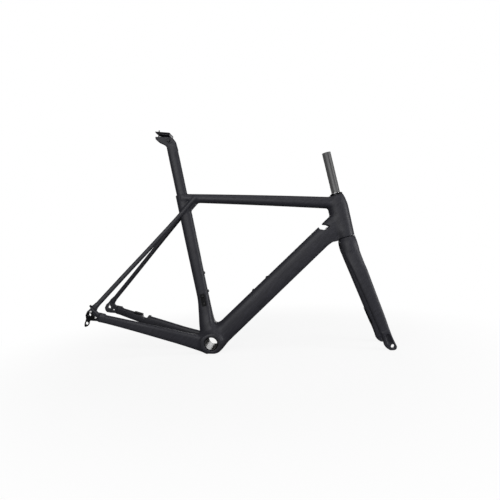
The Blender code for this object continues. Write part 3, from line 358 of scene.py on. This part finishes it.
gusset_outline = [(-0.1290, 0.4350), (-0.1180, 0.4420), (-0.0990, 0.4685), (-0.0855, 0.4780),
                  (-0.1000, 0.4850), (-0.1300, 0.4600)]
lip_outline = [(0.3450, 0.3640), (0.3570, 0.3718), (0.3692, 0.3790), (0.3838, 0.3837),
               (0.3960, 0.3880), (0.4060, 0.4020), (0.3850, 0.4150), (0.3600, 0.4000)]


def about_steering(grid, foot):
    """Height along the steering axis above a point on it, and distance from the axis."""
    x, y, z = grid
    up = (x - foot.x) * steer_up.x + (z - foot.z) * steer_up.z
    return up, np.hypot((x - foot.x) * steer_up.z - (z - foot.z) * steer_up.x, y)


def notch_distance(grid, radius):
    """Distance from the round notch in the left chainstay, a little longer than it is high."""
    x, y, z = grid
    return np.hypot((x - notch_place[0]) * 0.95, z - notch_place[1]) - radius + 0 * y


def main_tubes(grid):
    """The head, top, down and seat tubes; the seat tube ends in a sloping rim."""
    x, z = grid[0], grid[2]
    head = tube_distance(grid, head_low, head_high, head_size(.030, .030, .027, .026, .0248, .0220),
                         head_size(.031, .034, .039, .038, .030, .0230),
                         head_size(.0272, .0274, .0283, .0292, .0262, .0215), 2.3)
    top_rear = seat_up * 0.503 - Vector((0.0, 0.0, 0.0021))
    top_front = Vector((head_low.lerp(head_high, 0.748).x, 0.0, top_rear.z + 0.0299))
    top = tube_distance(grid, top_rear, top_front, lambda share: .018 + .004 * share,
                        lambda share: .0145 + .0055 * share + .0060 * share * (1 - share),
                        lambda share: .0145 + .0055 * share - .0060 * share * (1 - share), 2.3)
    down = tube_distance(grid, down_foot.lerp(down_head, -0.018), down_head,
                         sizes_at(0, .2, .6, 1)(.033, .030, .024, .024),
                         lambda share: .0328 + .0014 * share,
                         lambda share: .0355 - .0033 * share, 3.0)
    seat = tube_distance(grid, seat_up * 0.01, seat_up * 0.514,
                         seat_size(.033, .028, .020, .015, .0152, .0178),
                         seat_size(.040, .0352, .0290, .0220, .0226, .0220),
                         seat_size(.022, .020, .0188, .0187, .0205, .0207), 2.3)
    rim = (z - 0.4875 - 0.2 * (x + 0.154)) * 0.98
    return head, top, down, np.maximum(seat, rim)


def rear_stays(grid):
    """The chainstays and the seatstays, each as a pair."""
    over = sizes_at(0, .14, .36, .6, .8, 1)(.0305, .0276, .0230, .0188, .0163, .0142)
    under = sizes_at(0, .157, .3, .6, .8, 1)(.0235, .0206, .0182, .0157, .0132, .0112)
    spread = sizes_at(0, .2, .49, .82, 1)(.029, .033, .048, .064, dropout_side)
    chainstay = tube_distance(grid, Vector((-0.008, 0.0, -0.007)), Vector((-0.372, 0.0, 0.0550)),
                              lambda share: .0105 - .0014 * share, over, under, 3.6, spread)
    foot = rear_axle + Vector((0.0108, 0.0, 0.0229))
    spread = sizes_at(0, .26, .59, .81, .96, 1)(dropout_side, .0572, .0298, .0170, .0145, .0120)
    seatstay = tube_distance(grid, foot, Vector((-0.1000, 0.0, 0.4878)), .0065,
                             lambda share: .0077 - .001 * share, lambda share: .0077 - .001 * share,
                             2.8, spread)
    return chainstay, seatstay


def frame_field(grid):
    """The whole carbon shell of the frame, with its bores and cut-outs."""
    x, y, z = grid
    head, top, down, seat_tube = main_tubes(grid)
    chainstay, seatstay = rear_stays(grid)
    shell = across_distance(grid, Vector((0.0, 0.0, 0.0)), 0.032, -0.04325, 0.04325)
    ridge = bar_distance(grid, Vector((-0.4035, -0.0792, 0.0835)),
                         Vector((-0.3800, -0.0785, 0.0635)), 0.0024)
    plate = outline_distance(grid, dropout_plate, dropout_side, 0.003) - 0.0015
    axle_boss = np.hypot(x - rear_axle.x, z - rear_axle.z) - 0.0100
    axle_boss = np.maximum(np.maximum(axle_boss, y - 0.0850), 0.075 - y)
    gusset = outline_distance(grid, gusset_outline, 0.0, 0.010) - 0.003
    lip = outline_distance(grid, lip_outline, 0.0, 0.018) - 0.003
    lower = join(join(seat_tube, shell, 0.016), chainstay, 0.018)
    lower_fillet = np.interp(z, (0.15, 0.25), (0.027, 0.005)).astype(np.float32)
    field = join(top, head, 0.008)
    for part, fillet in ((down, 0.004), (lip, 0.006), (lower, lower_fillet), (gusset, 0.006),
                         (seatstay, 0.005), (plate, 0.006), (ridge, 0.002), (axle_boss, 0.002)):
        field = join(field, part, fillet)
    bore = np.hypot(x, z) - shell_bore - sleeve_wall + sleeve_bond + 0 * y
    field = take_away(field, bore, 0.0015)
    for end, radius in ((0.0103, race_seat), (0.16, steerer_room)):
        cup = tube_distance(grid, head_low + steer_up * -0.02, head_low + steer_up * end,
                            radius, radius, radius, 2.0)
        field = take_away(field, cup, 0.0008)
    up, off = about_steering(grid, head_low)
    swept = np.interp(-up, (-0.0003, 0.0069, 0.0195, 0.042, 0.084),
                      (0.0315, 0.0355, 0.0395, 0.0420, 0.0420))
    field = take_away(field, np.maximum(off - swept.astype(np.float32), up), 0.0008)
    field = take_away(field, outline_distance(grid, port_outline, 0.0, 0.08), 0.003)
    holes = [(0.0, 0.0, axle_hole), (-0.0010, 0.0102, 0.0025), (0.0175, -0.0080, 0.0030)]
    for forward, above, radius in holes:
        place = rear_axle + Vector((forward, 0.0, above))
        field = take_away(field, across_distance(grid, place, radius, 0.05, 0.1), 0.001)
    return take_away(field, np.maximum(notch_distance(grid, 0.0105), 0.02 - y), 0.002)


def behind_seat(grid):
    """Distance behind the middle line of the seat tube."""
    return grid[0] * seat_back.x + grid[2] * seat_back.z + 0 * grid[1]


seam = 0.046
lap = 0.004
step = 0.002
low, high = (-0.19, -0.056, -0.05), (0.452, 0.057, 0.552)
grid = grid_over(low, high, step)
field = np.maximum(frame_field(grid), behind_seat(grid) - seam - lap)
front_triangle = skin("front_triangle", field, low, step, matt_carbon)
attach(front_triangle, "frame")
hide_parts("head_tube", "top_tube", "down_tube", "seat_tube")

# The rear triangle: boxy chainstays from 54 mm down to 25 mm tall that spread from the shell to
# the dropouts, thin seatstays that run past the seat tube into the top tube, and dropout plates
# 9 mm thick moulded to both, the left one with a boss round its axle hole. The left chainstay has
# a round notch in its top edge. The rear triangle laps the front one by 8 mm behind the seat tube.

step = 0.0016
low, high = (-0.43, -0.09, -0.05), (0.0, 0.0905, 0.5)
grid = grid_over(low, high, step)
field = np.maximum(frame_field(grid), seam - lap - behind_seat(grid))
rear_triangle = skin("rear_triangle", field, low, step, matt_carbon)
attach(rear_triangle, "frame")
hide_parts("chainstay_right", "chainstay_left", "seatstay_right", "seatstay_left",
            "dropout_right", "dropout_left")

# The bottom bracket sleeve: a black anodised alloy tube, 41 mm bore and 86.5 mm wide, bonded
# across the shell, with a small chamfer at each mouth.


def metal_finish(name, dark, light, metallic, roughness, bump_depth):
    """Machined or anodised metal with fine grain in its colour, its sheen and its surface."""
    material = bpy.data.materials.new(name)
    material.use_nodes = True
    nodes = material.node_tree.nodes
    links = material.node_tree.links
    shader = nodes["Principled BSDF"]
    place = nodes.new("ShaderNodeTexCoord")
    grain = nodes.new("ShaderNodeTexNoise")
    grain.inputs["Scale"].default_value = 900.0
    grain.inputs["Detail"].default_value = 4.0
    wear = nodes.new("ShaderNodeTexNoise")
    wear.inputs["Scale"].default_value = 45.0
    tone = nodes.new("ShaderNodeValToRGB")
    tone.color_ramp.elements[0].color = (*dark, 1.0)
    tone.color_ramp.elements[0].position = 0.35
    tone.color_ramp.elements[1].color = (*light, 1.0)
    tone.color_ramp.elements[1].position = 0.65
    sheen = nodes.new("ShaderNodeMapRange")
    sheen.inputs["To Min"].default_value = roughness - 0.08
    sheen.inputs["To Max"].default_value = roughness + 0.08
    bump = nodes.new("ShaderNodeBump")
    bump.inputs["Strength"].default_value = 0.1
    bump.inputs["Distance"].default_value = bump_depth
    links.new(place.outputs["Object"], grain.inputs["Vector"])
    links.new(place.outputs["Object"], wear.inputs["Vector"])
    links.new(wear.outputs["Fac"], tone.inputs["Fac"])
    links.new(tone.outputs["Color"], shader.inputs["Base Color"])
    links.new(grain.outputs["Fac"], sheen.inputs["Value"])
    links.new(sheen.outputs["Result"], shader.inputs["Roughness"])
    links.new(grain.outputs["Fac"], bump.inputs["Height"])
    links.new(bump.outputs["Normal"], shader.inputs["Normal"])
    shader.inputs["Metallic"].default_value = metallic
    return material


black_alloy = metal_finish("black_alloy", (0.010, 0.010, 0.011), (0.020, 0.020, 0.022),
                           0.9, 0.38, 0.0001)


def turned(name, profile, foot, axis, material, sides=72):
    """A closed profile of (radius, height) pairs in millimetres, spun about an axis."""
    turn = Matrix.Translation(foot) @ axis.to_track_quat("Z", "Y").to_matrix().to_4x4()
    points = []
    for radius, height in profile:
        for side in range(sides):
            angle = 2 * math.pi * side / sides
            spot = Vector((radius * math.cos(angle), radius * math.sin(angle), height)) / 1000
            points.append(turn @ spot)
    faces = []
    rows = len(profile)
    for row in range(rows):
        after = (row + 1) % rows
        for side in range(sides):
            beside = (side + 1) % sides
            faces.append((row * sides + side, row * sides + beside,
                          after * sides + beside, after * sides + side))
    mesh = bpy.data.meshes.new(name)
    mesh.from_pydata(points, [], faces)
    mesh.shade_smooth()
    mesh.set_sharp_from_angle(angle=math.radians(32))
    mesh.materials.append(material)
    piece = bpy.data.objects.new(name, mesh)
    scene.collection.objects.link(piece)
    return piece


sleeve_profile = [(20.5, -42.6), (21.2, -43.4), (23.1, -43.4), (23.5, -43.0),
                  (23.5, 43.0), (23.1, 43.4), (21.2, 43.4), (20.5, 42.6)]
sleeve = turned("bottom_bracket_sleeve", sleeve_profile, Vector((0.0, 0.0, 0.0)),
                Vector((0.0, 1.0, 0.0)), black_alloy)
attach(sleeve, "frame")
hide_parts("bottom_bracket_shell")

# The small alloy fittings of the frame: a hanger plate 5 mm thick with a 10 mm eye and a thread on
# the axle, a cable stop, the derailleur plate, the wedge before the seatpost and a pair of low
# brake bosses beside the notch. All are black anodised with rounded edges.


def fitting(node, material, round_off):
    """Gives a node of the part its finish and rounded edges."""
    piece = frame["nodes"][node]
    piece.data.materials.clear()
    piece.data.materials.append(material)
    bevel = piece.modifiers.new("rounded", "BEVEL")
    bevel.width = round_off
    bevel.segments = 2
    bevel.limit_method = "ANGLE"
    bevel.angle_limit = math.radians(38)
    bevel.harden_normals = True


for node in ("cable_stop", "front_derailleur_mount", "seatpost_wedge"):
    fitting(node, black_alloy, 0.0005)

hanger_outline = [(-0.4175, 0.0330), (-0.4150, 0.0410), (-0.4140, 0.0480), (-0.4165, 0.0585),
                  (-0.4125, 0.0670), (-0.4050, 0.0740), (-0.3990, 0.0700), (-0.3940, 0.0630),
                  (-0.3860, 0.0600), (-0.3805, 0.0550), (-0.3830, 0.0485), (-0.3930, 0.0470),
                  (-0.4005, 0.0435), (-0.4030, 0.0385), (-0.4032, 0.0320), (-0.4080, 0.0245),
                  (-0.4140, 0.0212), (-0.4172, 0.0232)]
hanger_thread = 0.0053
hanger_eye = 0.0048
eye_place = Vector((-0.4103, 0.0, 0.0332))
step = 0.0007
low, high = (-0.425, -0.089, 0.018), (-0.376, -0.077, 0.078)
grid = grid_over(low, high, step)
field = outline_distance(grid, hanger_outline, 0.0833, 0.0018) - 0.0008
for place, radius in ((rear_axle, hanger_thread), (eye_place, hanger_eye)):
    field = take_away(field, across_distance(grid, place, radius, 0.07, 0.1), 0.0008)
hanger = skin("hanger_plate", field, low, step, black_alloy)
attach(hanger, "frame")
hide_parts("derailleur_hanger")

boss_middle = Vector((-0.2722, 0.0, 0.0536))
boss_along = Vector((-0.364, 0.0, 0.062)).normalized()
boss_up = Vector((boss_along.z, 0.0, -boss_along.x))
boss_side = 0.06
boss_corners = [boss_middle + boss_along * a + boss_up * b
                for a, b in ((.03, 0), (-.03, 0), (-.03, -.006), (.03, -.006))]
step = 0.0008
low, high = (-0.306, 0.047, 0.037), (-0.239, 0.073, 0.064)
grid = grid_over(low, high, step)
boss_outline = [(spot.x, spot.z) for spot in boss_corners]
field = outline_distance(grid, boss_outline, boss_side, 0.0072) - 0.0008
field = take_away(field, notch_distance(grid, 0.0106), 0.001)
screw_place = boss_middle + boss_along * 0.017
screw_hole = np.hypot(grid[0] - screw_place.x, grid[1] - boss_side) - 0.0027 + 0 * grid[2]
field = take_away(field, screw_hole, 0.0005)
bosses = skin("rear_brake_bosses", field, low, step, black_alloy)
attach(bosses, "frame")
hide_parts("rear_brake_mount")

# The bolts: black steel button heads with hexagon sockets, 9.5 mm across on the bottle bosses,
# 7.5 mm on the derailleur plate and 6.4 mm on the wedge, and two pale screws, 6.8 mm across, that
# hold the hanger. Their pale, barely metallic colour is partly their plating and partly a painted
# highlight. A node group sets a bolt on every seat.

bolt_steel = metal_finish("bolt_steel", (0.030, 0.030, 0.031), (0.055, 0.055, 0.056),
                          0.9, 0.34, 0.0001)


def bolt_nodes():
    """Geometry nodes that set a button bolt on every point, turned to the point's axis."""
    group = bpy.data.node_groups.new("button_bolts", "GeometryNodeTree")
    face = group.interface
    face.new_socket("Geometry", in_out="INPUT", socket_type="NodeSocketGeometry")
    for label in ("Head Diameter", "Head Height", "Shank Diameter", "Shank Length"):
        face.new_socket(label, in_out="INPUT", socket_type="NodeSocketFloat")
    face.new_socket("Material", in_out="INPUT", socket_type="NodeSocketMaterial")
    face.new_socket("Geometry", in_out="OUTPUT", socket_type="NodeSocketGeometry")
    nodes = group.nodes
    links = group.links
    given = nodes.new("NodeGroupInput")
    result = nodes.new("NodeGroupOutput")

    def scaled(socket, factor):
        node = nodes.new("ShaderNodeMath")
        node.operation = "MULTIPLY"
        node.inputs[1].default_value = factor
        links.new(socket, node.inputs[0])
        return node.outputs[0]

    def moved(mesh, height):
        node = nodes.new("GeometryNodeTransform")
        lift = nodes.new("ShaderNodeCombineXYZ")
        links.new(height, lift.inputs["Z"])
        links.new(lift.outputs[0], node.inputs["Translation"])
        links.new(mesh, node.inputs["Geometry"])
        return node.outputs[0]

    def barrel(sides, radius, depth):
        node = nodes.new("GeometryNodeMeshCylinder")
        node.inputs["Vertices"].default_value = sides
        links.new(radius, node.inputs["Radius"])
        links.new(depth, node.inputs["Depth"])
        return node.outputs["Mesh"]

    wide, tall = given.outputs["Head Diameter"], given.outputs["Head Height"]
    rim = moved(barrel(48, scaled(wide, 0.5), scaled(tall, 0.5)), scaled(tall, 0.25))
    dome = nodes.new("GeometryNodeMeshCone")
    dome.inputs["Vertices"].default_value = 48
    links.new(scaled(wide, 0.5), dome.inputs["Radius Bottom"])
    links.new(scaled(wide, 0.36), dome.inputs["Radius Top"])
    links.new(scaled(tall, 0.5), dome.inputs["Depth"])
    crown = moved(dome.outputs["Mesh"], scaled(tall, 0.5))
    thick, long = given.outputs["Shank Diameter"], given.outputs["Shank Length"]
    shank = moved(barrel(24, scaled(thick, 0.5), long), scaled(long, -0.5))
    key = moved(barrel(6, scaled(wide, 0.25), scaled(tall, 1.4)), scaled(tall, 1.0))
    whole = nodes.new("GeometryNodeJoinGeometry")
    for part in (rim, crown):
        links.new(part, whole.inputs["Geometry"])
    welded = nodes.new("GeometryNodeMergeByDistance")
    welded.inputs["Distance"].default_value = 0.00001
    links.new(whole.outputs[0], welded.inputs["Geometry"])
    socket = nodes.new("GeometryNodeMeshBoolean")
    socket.operation = "DIFFERENCE"
    links.new(welded.outputs[0], socket.inputs["Mesh 1"])
    links.new(key, socket.inputs["Mesh 2"])
    both = nodes.new("GeometryNodeJoinGeometry")
    links.new(socket.outputs["Mesh"], both.inputs["Geometry"])
    links.new(shank, both.inputs["Geometry"])
    axis = nodes.new("GeometryNodeInputNamedAttribute")
    axis.data_type = "FLOAT_VECTOR"
    axis.inputs["Name"].default_value = "axis"
    aim = nodes.new("FunctionNodeAlignRotationToVector")
    aim.axis = "Z"
    links.new(axis.outputs["Attribute"], aim.inputs["Vector"])
    set_on = nodes.new("GeometryNodeInstanceOnPoints")
    links.new(given.outputs["Geometry"], set_on.inputs["Points"])
    links.new(both.outputs[0], set_on.inputs["Instance"])
    links.new(aim.outputs["Rotation"], set_on.inputs["Rotation"])
    real = nodes.new("GeometryNodeRealizeInstances")
    links.new(set_on.outputs["Instances"], real.inputs["Geometry"])
    coat = nodes.new("GeometryNodeSetMaterial")
    links.new(real.outputs["Geometry"], coat.inputs["Geometry"])
    links.new(given.outputs["Material"], coat.inputs["Material"])
    links.new(coat.outputs["Geometry"], result.inputs["Geometry"])
    return group


button_bolts = bolt_nodes()


def bolts(name, body, nodes, seats, head, shank, material):
    """One mesh with a bolt on every (place, axis) seat, for the named nodes; sizes in mm."""
    mesh = bpy.data.meshes.new(name + "_seats")
    mesh.from_pydata([place for place, axis in seats], [], [])
    directions = mesh.attributes.new("axis", "FLOAT_VECTOR", "POINT")
    for spot, (place, axis) in zip(directions.data, seats):
        spot.vector = axis
    holder = bpy.data.objects.new(name + "_seats", mesh)
    scene.collection.objects.link(holder)
    modifier = holder.modifiers.new("bolts", "NODES")
    modifier.node_group = button_bolts
    wanted = {"Head Diameter": head[0], "Head Height": head[1], "Shank Diameter": shank[0],
              "Shank Length": shank[1], "Material": material}
    for item in button_bolts.interface.items_tree:
        if item.in_out == "INPUT" and item.name in wanted:
            value = wanted[item.name]
            modifier[item.identifier] = value / 1000 if item.name != "Material" else value
    evaluated = holder.evaluated_get(bpy.context.evaluated_depsgraph_get())
    made = bpy.data.meshes.new_from_object(evaluated)
    bpy.data.objects.remove(holder, do_unlink=True)
    made.shade_smooth()
    made.set_sharp_from_angle(angle=math.radians(30))
    piece = bpy.data.objects.new(name, made)
    scene.collection.objects.link(piece)
    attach(piece, body)
    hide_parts(*nodes)


def middle_of(node):
    """The middle of a node's box."""
    low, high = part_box(node)
    return (low + high) / 2


down_up = Vector((-(down_head - down_foot).z, 0.0, (down_head - down_foot).x)).normalized()
right = Vector((0.0, -1.0, 0.0))
bottle_nodes = {"down_tube_bolt_upper": down_up, "down_tube_bolt_lower": down_up,
                "seat_tube_bolt_upper": -seat_back, "seat_tube_bolt_lower": -seat_back}
bolts("bottle_bolts", "frame", bottle_nodes,
      [(middle_of(node) + axis * 0.0010, axis) for node, axis in bottle_nodes.items()],
      (9.5, 3.0), (5.0, 9.0), bolt_steel)
plate_nodes = ("derailleur_mount_bolt_upper", "derailleur_mount_bolt_lower")
bolts("derailleur_plate_bolts", "frame", plate_nodes,
      [(middle_of(node) + right * 0.00375, right) for node in plate_nodes],
      (7.5, 2.5), (4.0, 10.0), bolt_steel)
bearing_steel = metal_finish("bearing_steel", (0.50, 0.50, 0.51), (0.66, 0.66, 0.67),
                             1.0, 0.24, 0.00005)
# The hanger screws: pale plated steel, made barely metallic so that its light colour also holds a painted
# highlight in place of their glints.
pale_screw_painted_glint = metal_finish("pale_screw_painted_glint", (0.78, 0.78, 0.79), (0.88, 0.88, 0.88),
                           0.3, 0.45, 0.00005)
bolts("hanger_screws", "frame", ["hanger_bolt"],
      [(Vector((-0.3822, -0.0862, 0.0553)), right), (Vector((-0.4010, -0.0862, 0.0729)), right)],
      (6.8, 1.6), (3.0, 8.0), pale_screw_painted_glint)
bolts("wedge_bolt", "frame", ["seatpost_wedge_bolt"],
      [(middle_of("seatpost_wedge_bolt") + seat_up * 0.0075, seat_up)],
      (6.4, 3.0), (4.0, 18.0), bolt_steel)

# The headset: ground steel races and cages, hidden in the head tube, on a blackened crown race.
# Above it shows a black cover, 41 mm across and 6 mm tall, and in that the bright split ring that
# centres the steerer.

for node in ("upper_outer_race", "upper_inner_race", "upper_ball_cage", "lower_outer_race",
             "lower_inner_race", "lower_ball_cage", "crown_race"):
    slots = frame["nodes"][node].data.materials
    slots.clear()
    slots.append(black_alloy if node == "crown_race" else bearing_steel)
cover_profile = [(15.2, 0.3), (20.3, 0.3), (20.6, 0.6), (20.6, 4.6), (19.9, 6.0), (17.3, 6.5),
                 (15.2, 6.5)]
cover = turned("headset_cover", cover_profile, head_high, steer_up, black_alloy)
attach(cover, "fork")
ring_profile = [(14.5, -2.7), (15.0, -2.7), (15.0, 6.7), (16.9, 6.7), (16.9, 7.3), (16.3, 7.9),
                (14.5, 7.9)]
ring = turned("compression_ring_visual", ring_profile, head_high, steer_up, bearing_steel)
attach(ring, "fork")
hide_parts("compression_ring")

# The fork: one carbon moulding of crown and two straight blades, 52 mm deep at the crown and 30 mm
# at the tips, with an arch 40 mm wide for the tyre. The tips are 12 mm plates round the axle holes
# with a pocket outside, and a low brake boss is bonded behind the left blade.

crown_top = head_low - steer_up * 0.0006
blade_lean = math.radians(27.2)
blade_up = Vector((-math.sin(blade_lean), 0.0, math.cos(blade_lean)))
blade_front = Vector((blade_up.z, 0.0, -blade_up.x))
blade_foot = front_axle - blade_front * 0.007
blade_top = (crown_top - steer_up * 0.0252 - blade_foot).dot(blade_up)


def blade_point(up, front):
    """A place in the side plane, up and in front of the front axle along the blades."""
    spot = front_axle + blade_up * up + blade_front * front
    return (spot.x, spot.z)


tip_outline = [blade_point(*spot) for spot in (
    (-.0085, -.0115), (-.0120, -.0060), (-.0125, .0010), (-.0115, .0068), (-.0050, .0107),
    (.0040, .0100), (.0500, .0060), (.0500, -.0140), (.0140, -.0205), (.0040, -.0200),
    (-.0010, -.0172))]
pocket_outline = [blade_point(*spot) for spot in (
    (.0100, -.0060), (.0100, .0050), (.0380, .0030), (.0420, -.0030), (.0380, -.0090),
    (.0140, -.0120))]
tip_side = 0.0560
arch_half = 0.020
arch_drop = 0.045
crown_size = sizes_at(0.0, 0.5, 0.8, 1.0)
blade_size = sizes_at(0.0, 0.1, 0.25, 0.45, 0.7, 0.9, 1.0)


def fork_field(grid):
    """The crown, kept clear of the frame when it turns, with blades, tips and cut-outs."""
    y = grid[1]
    crown = tube_distance(grid, crown_top - steer_up * 0.042, crown_top,
                          crown_size(.038, .037, .034, .030),
                          crown_size(.0250, .0250, .0265, .0285),
                          crown_size(.0275, .0280, .0276, .0272), 2.5)
    blade = tube_distance(grid, blade_foot + blade_up * 0.010,
                          blade_foot + blade_up * (blade_top + 0.018),
                          blade_size(.0065, .0067, .0070, .0074, .0079, .0083, .0085),
                          blade_size(.0150, .0154, .0160, .0176, .0202, .0230, .0232),
                          blade_size(.0150, .0178, .0204, .0223, .0255, .0284, .0286), 2.7,
                          blade_size(.0545, .0543, .0530, .0500, .0430, .0310, .0290))
    tip = outline_distance(grid, tip_outline, tip_side, 0.0045) - 0.0015
    field = join(crown, blade, 0.014)
    up, off = about_steering(grid, crown_top)
    arch = np.where(up > -arch_drop, np.hypot(y, up + arch_drop), np.abs(y) + 0 * up) - arch_half
    field = take_away(field, arch, 0.004)
    limit = curve_through(-up, (0.0, 0.0084, 0.021, 0.042, 0.075, 0.12, 0.4),
                          (0.0302, 0.0342, 0.038, 0.0405, 0.046, 0.06, 0.4))
    field = np.maximum(-join(-field, limit - off, 0.003), up + 0 * y)
    field = join(field, tip, 0.005)
    field = take_away(field, outline_distance(grid, pocket_outline, 0.0615, 0.004), 0.002)
    field = take_away(field, across_distance(grid, front_axle, axle_hole, 0.03, 0.08), 0.001)
    socket = tube_distance(grid, crown_top - steer_up * 0.02, crown_top + steer_up * 0.03,
                           .0163, .0163, .0163, 2.0)
    return take_away(field, socket, 0.0008)


step = 0.0016
low, high = (0.37, -0.068, 0.043), (0.61, 0.0685, 0.425)
grid = grid_over(low, high, step)
fork = skin("fork_moulding", fork_field(grid), low, step, matt_carbon)
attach(fork, "fork")
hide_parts("fork_crown", "fork_blade_right", "fork_blade_left", "fork_dropout_right",
            "fork_dropout_left")

boss_spots = [blade_foot + blade_up * up + blade_front * front for up, front in
              ((.062, -.0152), (.122, -.0170), (.122, -.0110), (.062, -.0090))]
step = 0.0008
low, high = (0.495, 0.044, 0.095), (0.552, 0.063, 0.175)
grid = grid_over(low, high, step)
field = outline_distance(grid, [(spot.x, spot.z) for spot in boss_spots], 0.0531, 0.0045) - 0.0008
front_boss = skin("front_brake_boss", field, low, step, black_alloy)
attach(front_boss, "fork")
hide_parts("front_brake_mount")

# The steerer: a bare carbon tube, 28.6 mm outside and 22 mm inside, that widens to the crown race.
# It is sanded, so pale fibre streaks run along it.

raw_carbon = carbon_finish("raw_carbon", (0.045, 0.045, 0.046), (0.17, 0.17, 0.17), 0.42,
                           -math.radians(19), 60.0)
top = (Vector(mounts["steerer_top"]["pos_m"]) - crown_top).dot(steer_up) * 1000
steerer_profile = [(14.3, top - 0.6), (14.3, 62.0), (19.7, 18.0), (19.7, 0.3), (16.0, 0.3),
                   (16.0, -15.0), (11.0, -15.0), (11.0, top - 0.6), (11.5, top), (13.8, top)]
steerer = turned("steerer", steerer_profile, crown_top, steer_up, raw_carbon)
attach(steerer, "fork")
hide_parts("steerer_tube")

# The seatpost: an oval carbon post, 37 mm by 25 mm, whose head bends back 40 mm under the rail
# clamp. A round hole across the head takes the barrel of the clamp, and a small bolt behind it
# sets the tilt.

barrel_place = Vector(joints["saddle_tilt"]["pos_m"])
head_outline = [(-0.2080, 0.6200), (-0.2180, 0.6485), (-0.2300, 0.6565), (-0.2480, 0.6630),
                (-0.2580, 0.6705), (-0.2600, 0.6780), (-0.2085, 0.6790), (-0.2020, 0.6750),
                (-0.1945, 0.6660), (-0.1845, 0.6400), (-0.1835, 0.6250)]
tilt_behind = 0.037
post_size = sizes_at(0.0, 0.8, 1.0)


def post_field(grid):
    """The post and its head, with the holes for the barrel and both bolts."""
    x, y, z = grid
    post = tube_distance(grid, seat_up * 0.402, seat_up * 0.690, post_size(.0125, .0125, .0098),
                         post_size(.0180, .0180, .0160), post_size(.0188, .0188, .0163), 2.2)
    head_half = np.interp(z, (0.622, 0.655), (0.0030, 0.0075)).astype(np.float32)
    head = outline_distance(grid, head_outline, 0.0, head_half) - 0.0025
    field = join(post, head, 0.005)
    field = np.maximum(field, z - 0.6815 + 0.09 * np.maximum(barrel_place.x - x, 0) + 0 * y)
    field = take_away(field, across_distance(grid, barrel_place, 0.0063, -0.03, 0.03), 0.0008)
    slot = np.maximum(np.maximum(np.abs(x - barrel_place.x) - 0.0045, np.abs(y) - 0.0033), 0.66 - z)
    field = take_away(field, slot, 0.0008)
    tilt_line = np.hypot(x - barrel_place.x + tilt_behind, y)
    field = take_away(field, np.maximum(tilt_line - 0.0048, z - 0.6693), 0.0008)
    return take_away(field, tilt_line - 0.0024 + 0 * z, 0.0004)


step = 0.0012
low, high = (-0.275, -0.016, 0.375), (-0.105, 0.0165, 0.69)
grid = grid_over(low, high, step)
post = skin("seatpost_moulding", post_field(grid), low, step, matt_carbon)
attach(post, "seatpost")
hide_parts("seatpost")
tilt_place = middle_of("tilt_bolt")
tilt_place.z = 0.6690
bolts("tilt_bolt_visual", "seatpost", ["tilt_bolt"], [(tilt_place, Vector((0.0, 0.0, -1.0)))],
      (7.5, 4.0), (4.0, 33.0), bolt_steel)

# The rail clamp: a barrel 12 mm across in the head, a cradle 40 mm long on it and a plate 50 mm
# long on top, both grooved for 7 mm rails 44 mm apart. They are black anodised and drawn together
# by the front bolt.

fitting("clamp_barrel", black_alloy, 0.0008)
rail = barrel_place + Vector((0.0, 0.0, 0.018))
rail_side, rail_radius = 0.022, 0.0035
edge = 0.001
step = 0.0008
low, high = (-0.262, -0.0295, 0.680), (-0.205, 0.0300, 0.697)
grid = grid_over(low, high, step)
x, y, z = grid
grooves = np.hypot(np.abs(y) - rail_side, z - rail.z) - rail_radius + 0 * x
front_hole = np.hypot(x - barrel_place.x, y) - 0.0028 + 0 * z
tilt_slot = np.maximum(np.abs(x - tilt_place.x) - 0.005, np.abs(y) - 0.003) + 0 * z
for name, rear, front, under, over, node in (
        ("rail_cradle_visual", -0.2485, -0.2090, 0.6822, 0.6868, "rail_cradle"),
        ("rail_plate_visual", -0.2585, -0.2085, 0.6874, 0.6912, "rail_clamp_plate")):
    sides = (np.abs(x - (rear + front) / 2) - (front - rear) / 2 + edge, np.abs(y) - 0.0252,
             np.abs(z - (under + over) / 2) - (over - under) / 2 + edge)
    outside = np.sqrt(sum(np.maximum(side, 0) ** 2 for side in sides))
    field = outside + np.minimum(np.maximum(np.maximum(sides[0], sides[1]), sides[2]), 0) - edge
    for hollow in (grooves, front_hole, tilt_slot):
        field = take_away(field, hollow, 0.0005)
    clamp = skin(name, field, low, step, black_alloy)
    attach(clamp, "saddle_clamp")
    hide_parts(node)
bolts("front_clamp_bolt_visual", "saddle_clamp", ["front_clamp_bolt"],
      [(barrel_place + Vector((0.0, 0.0, 0.0205)), Vector((0.0, 0.0, 1.0)))],
      (7.2, 3.0), (5.0, 22.0), bolt_steel)
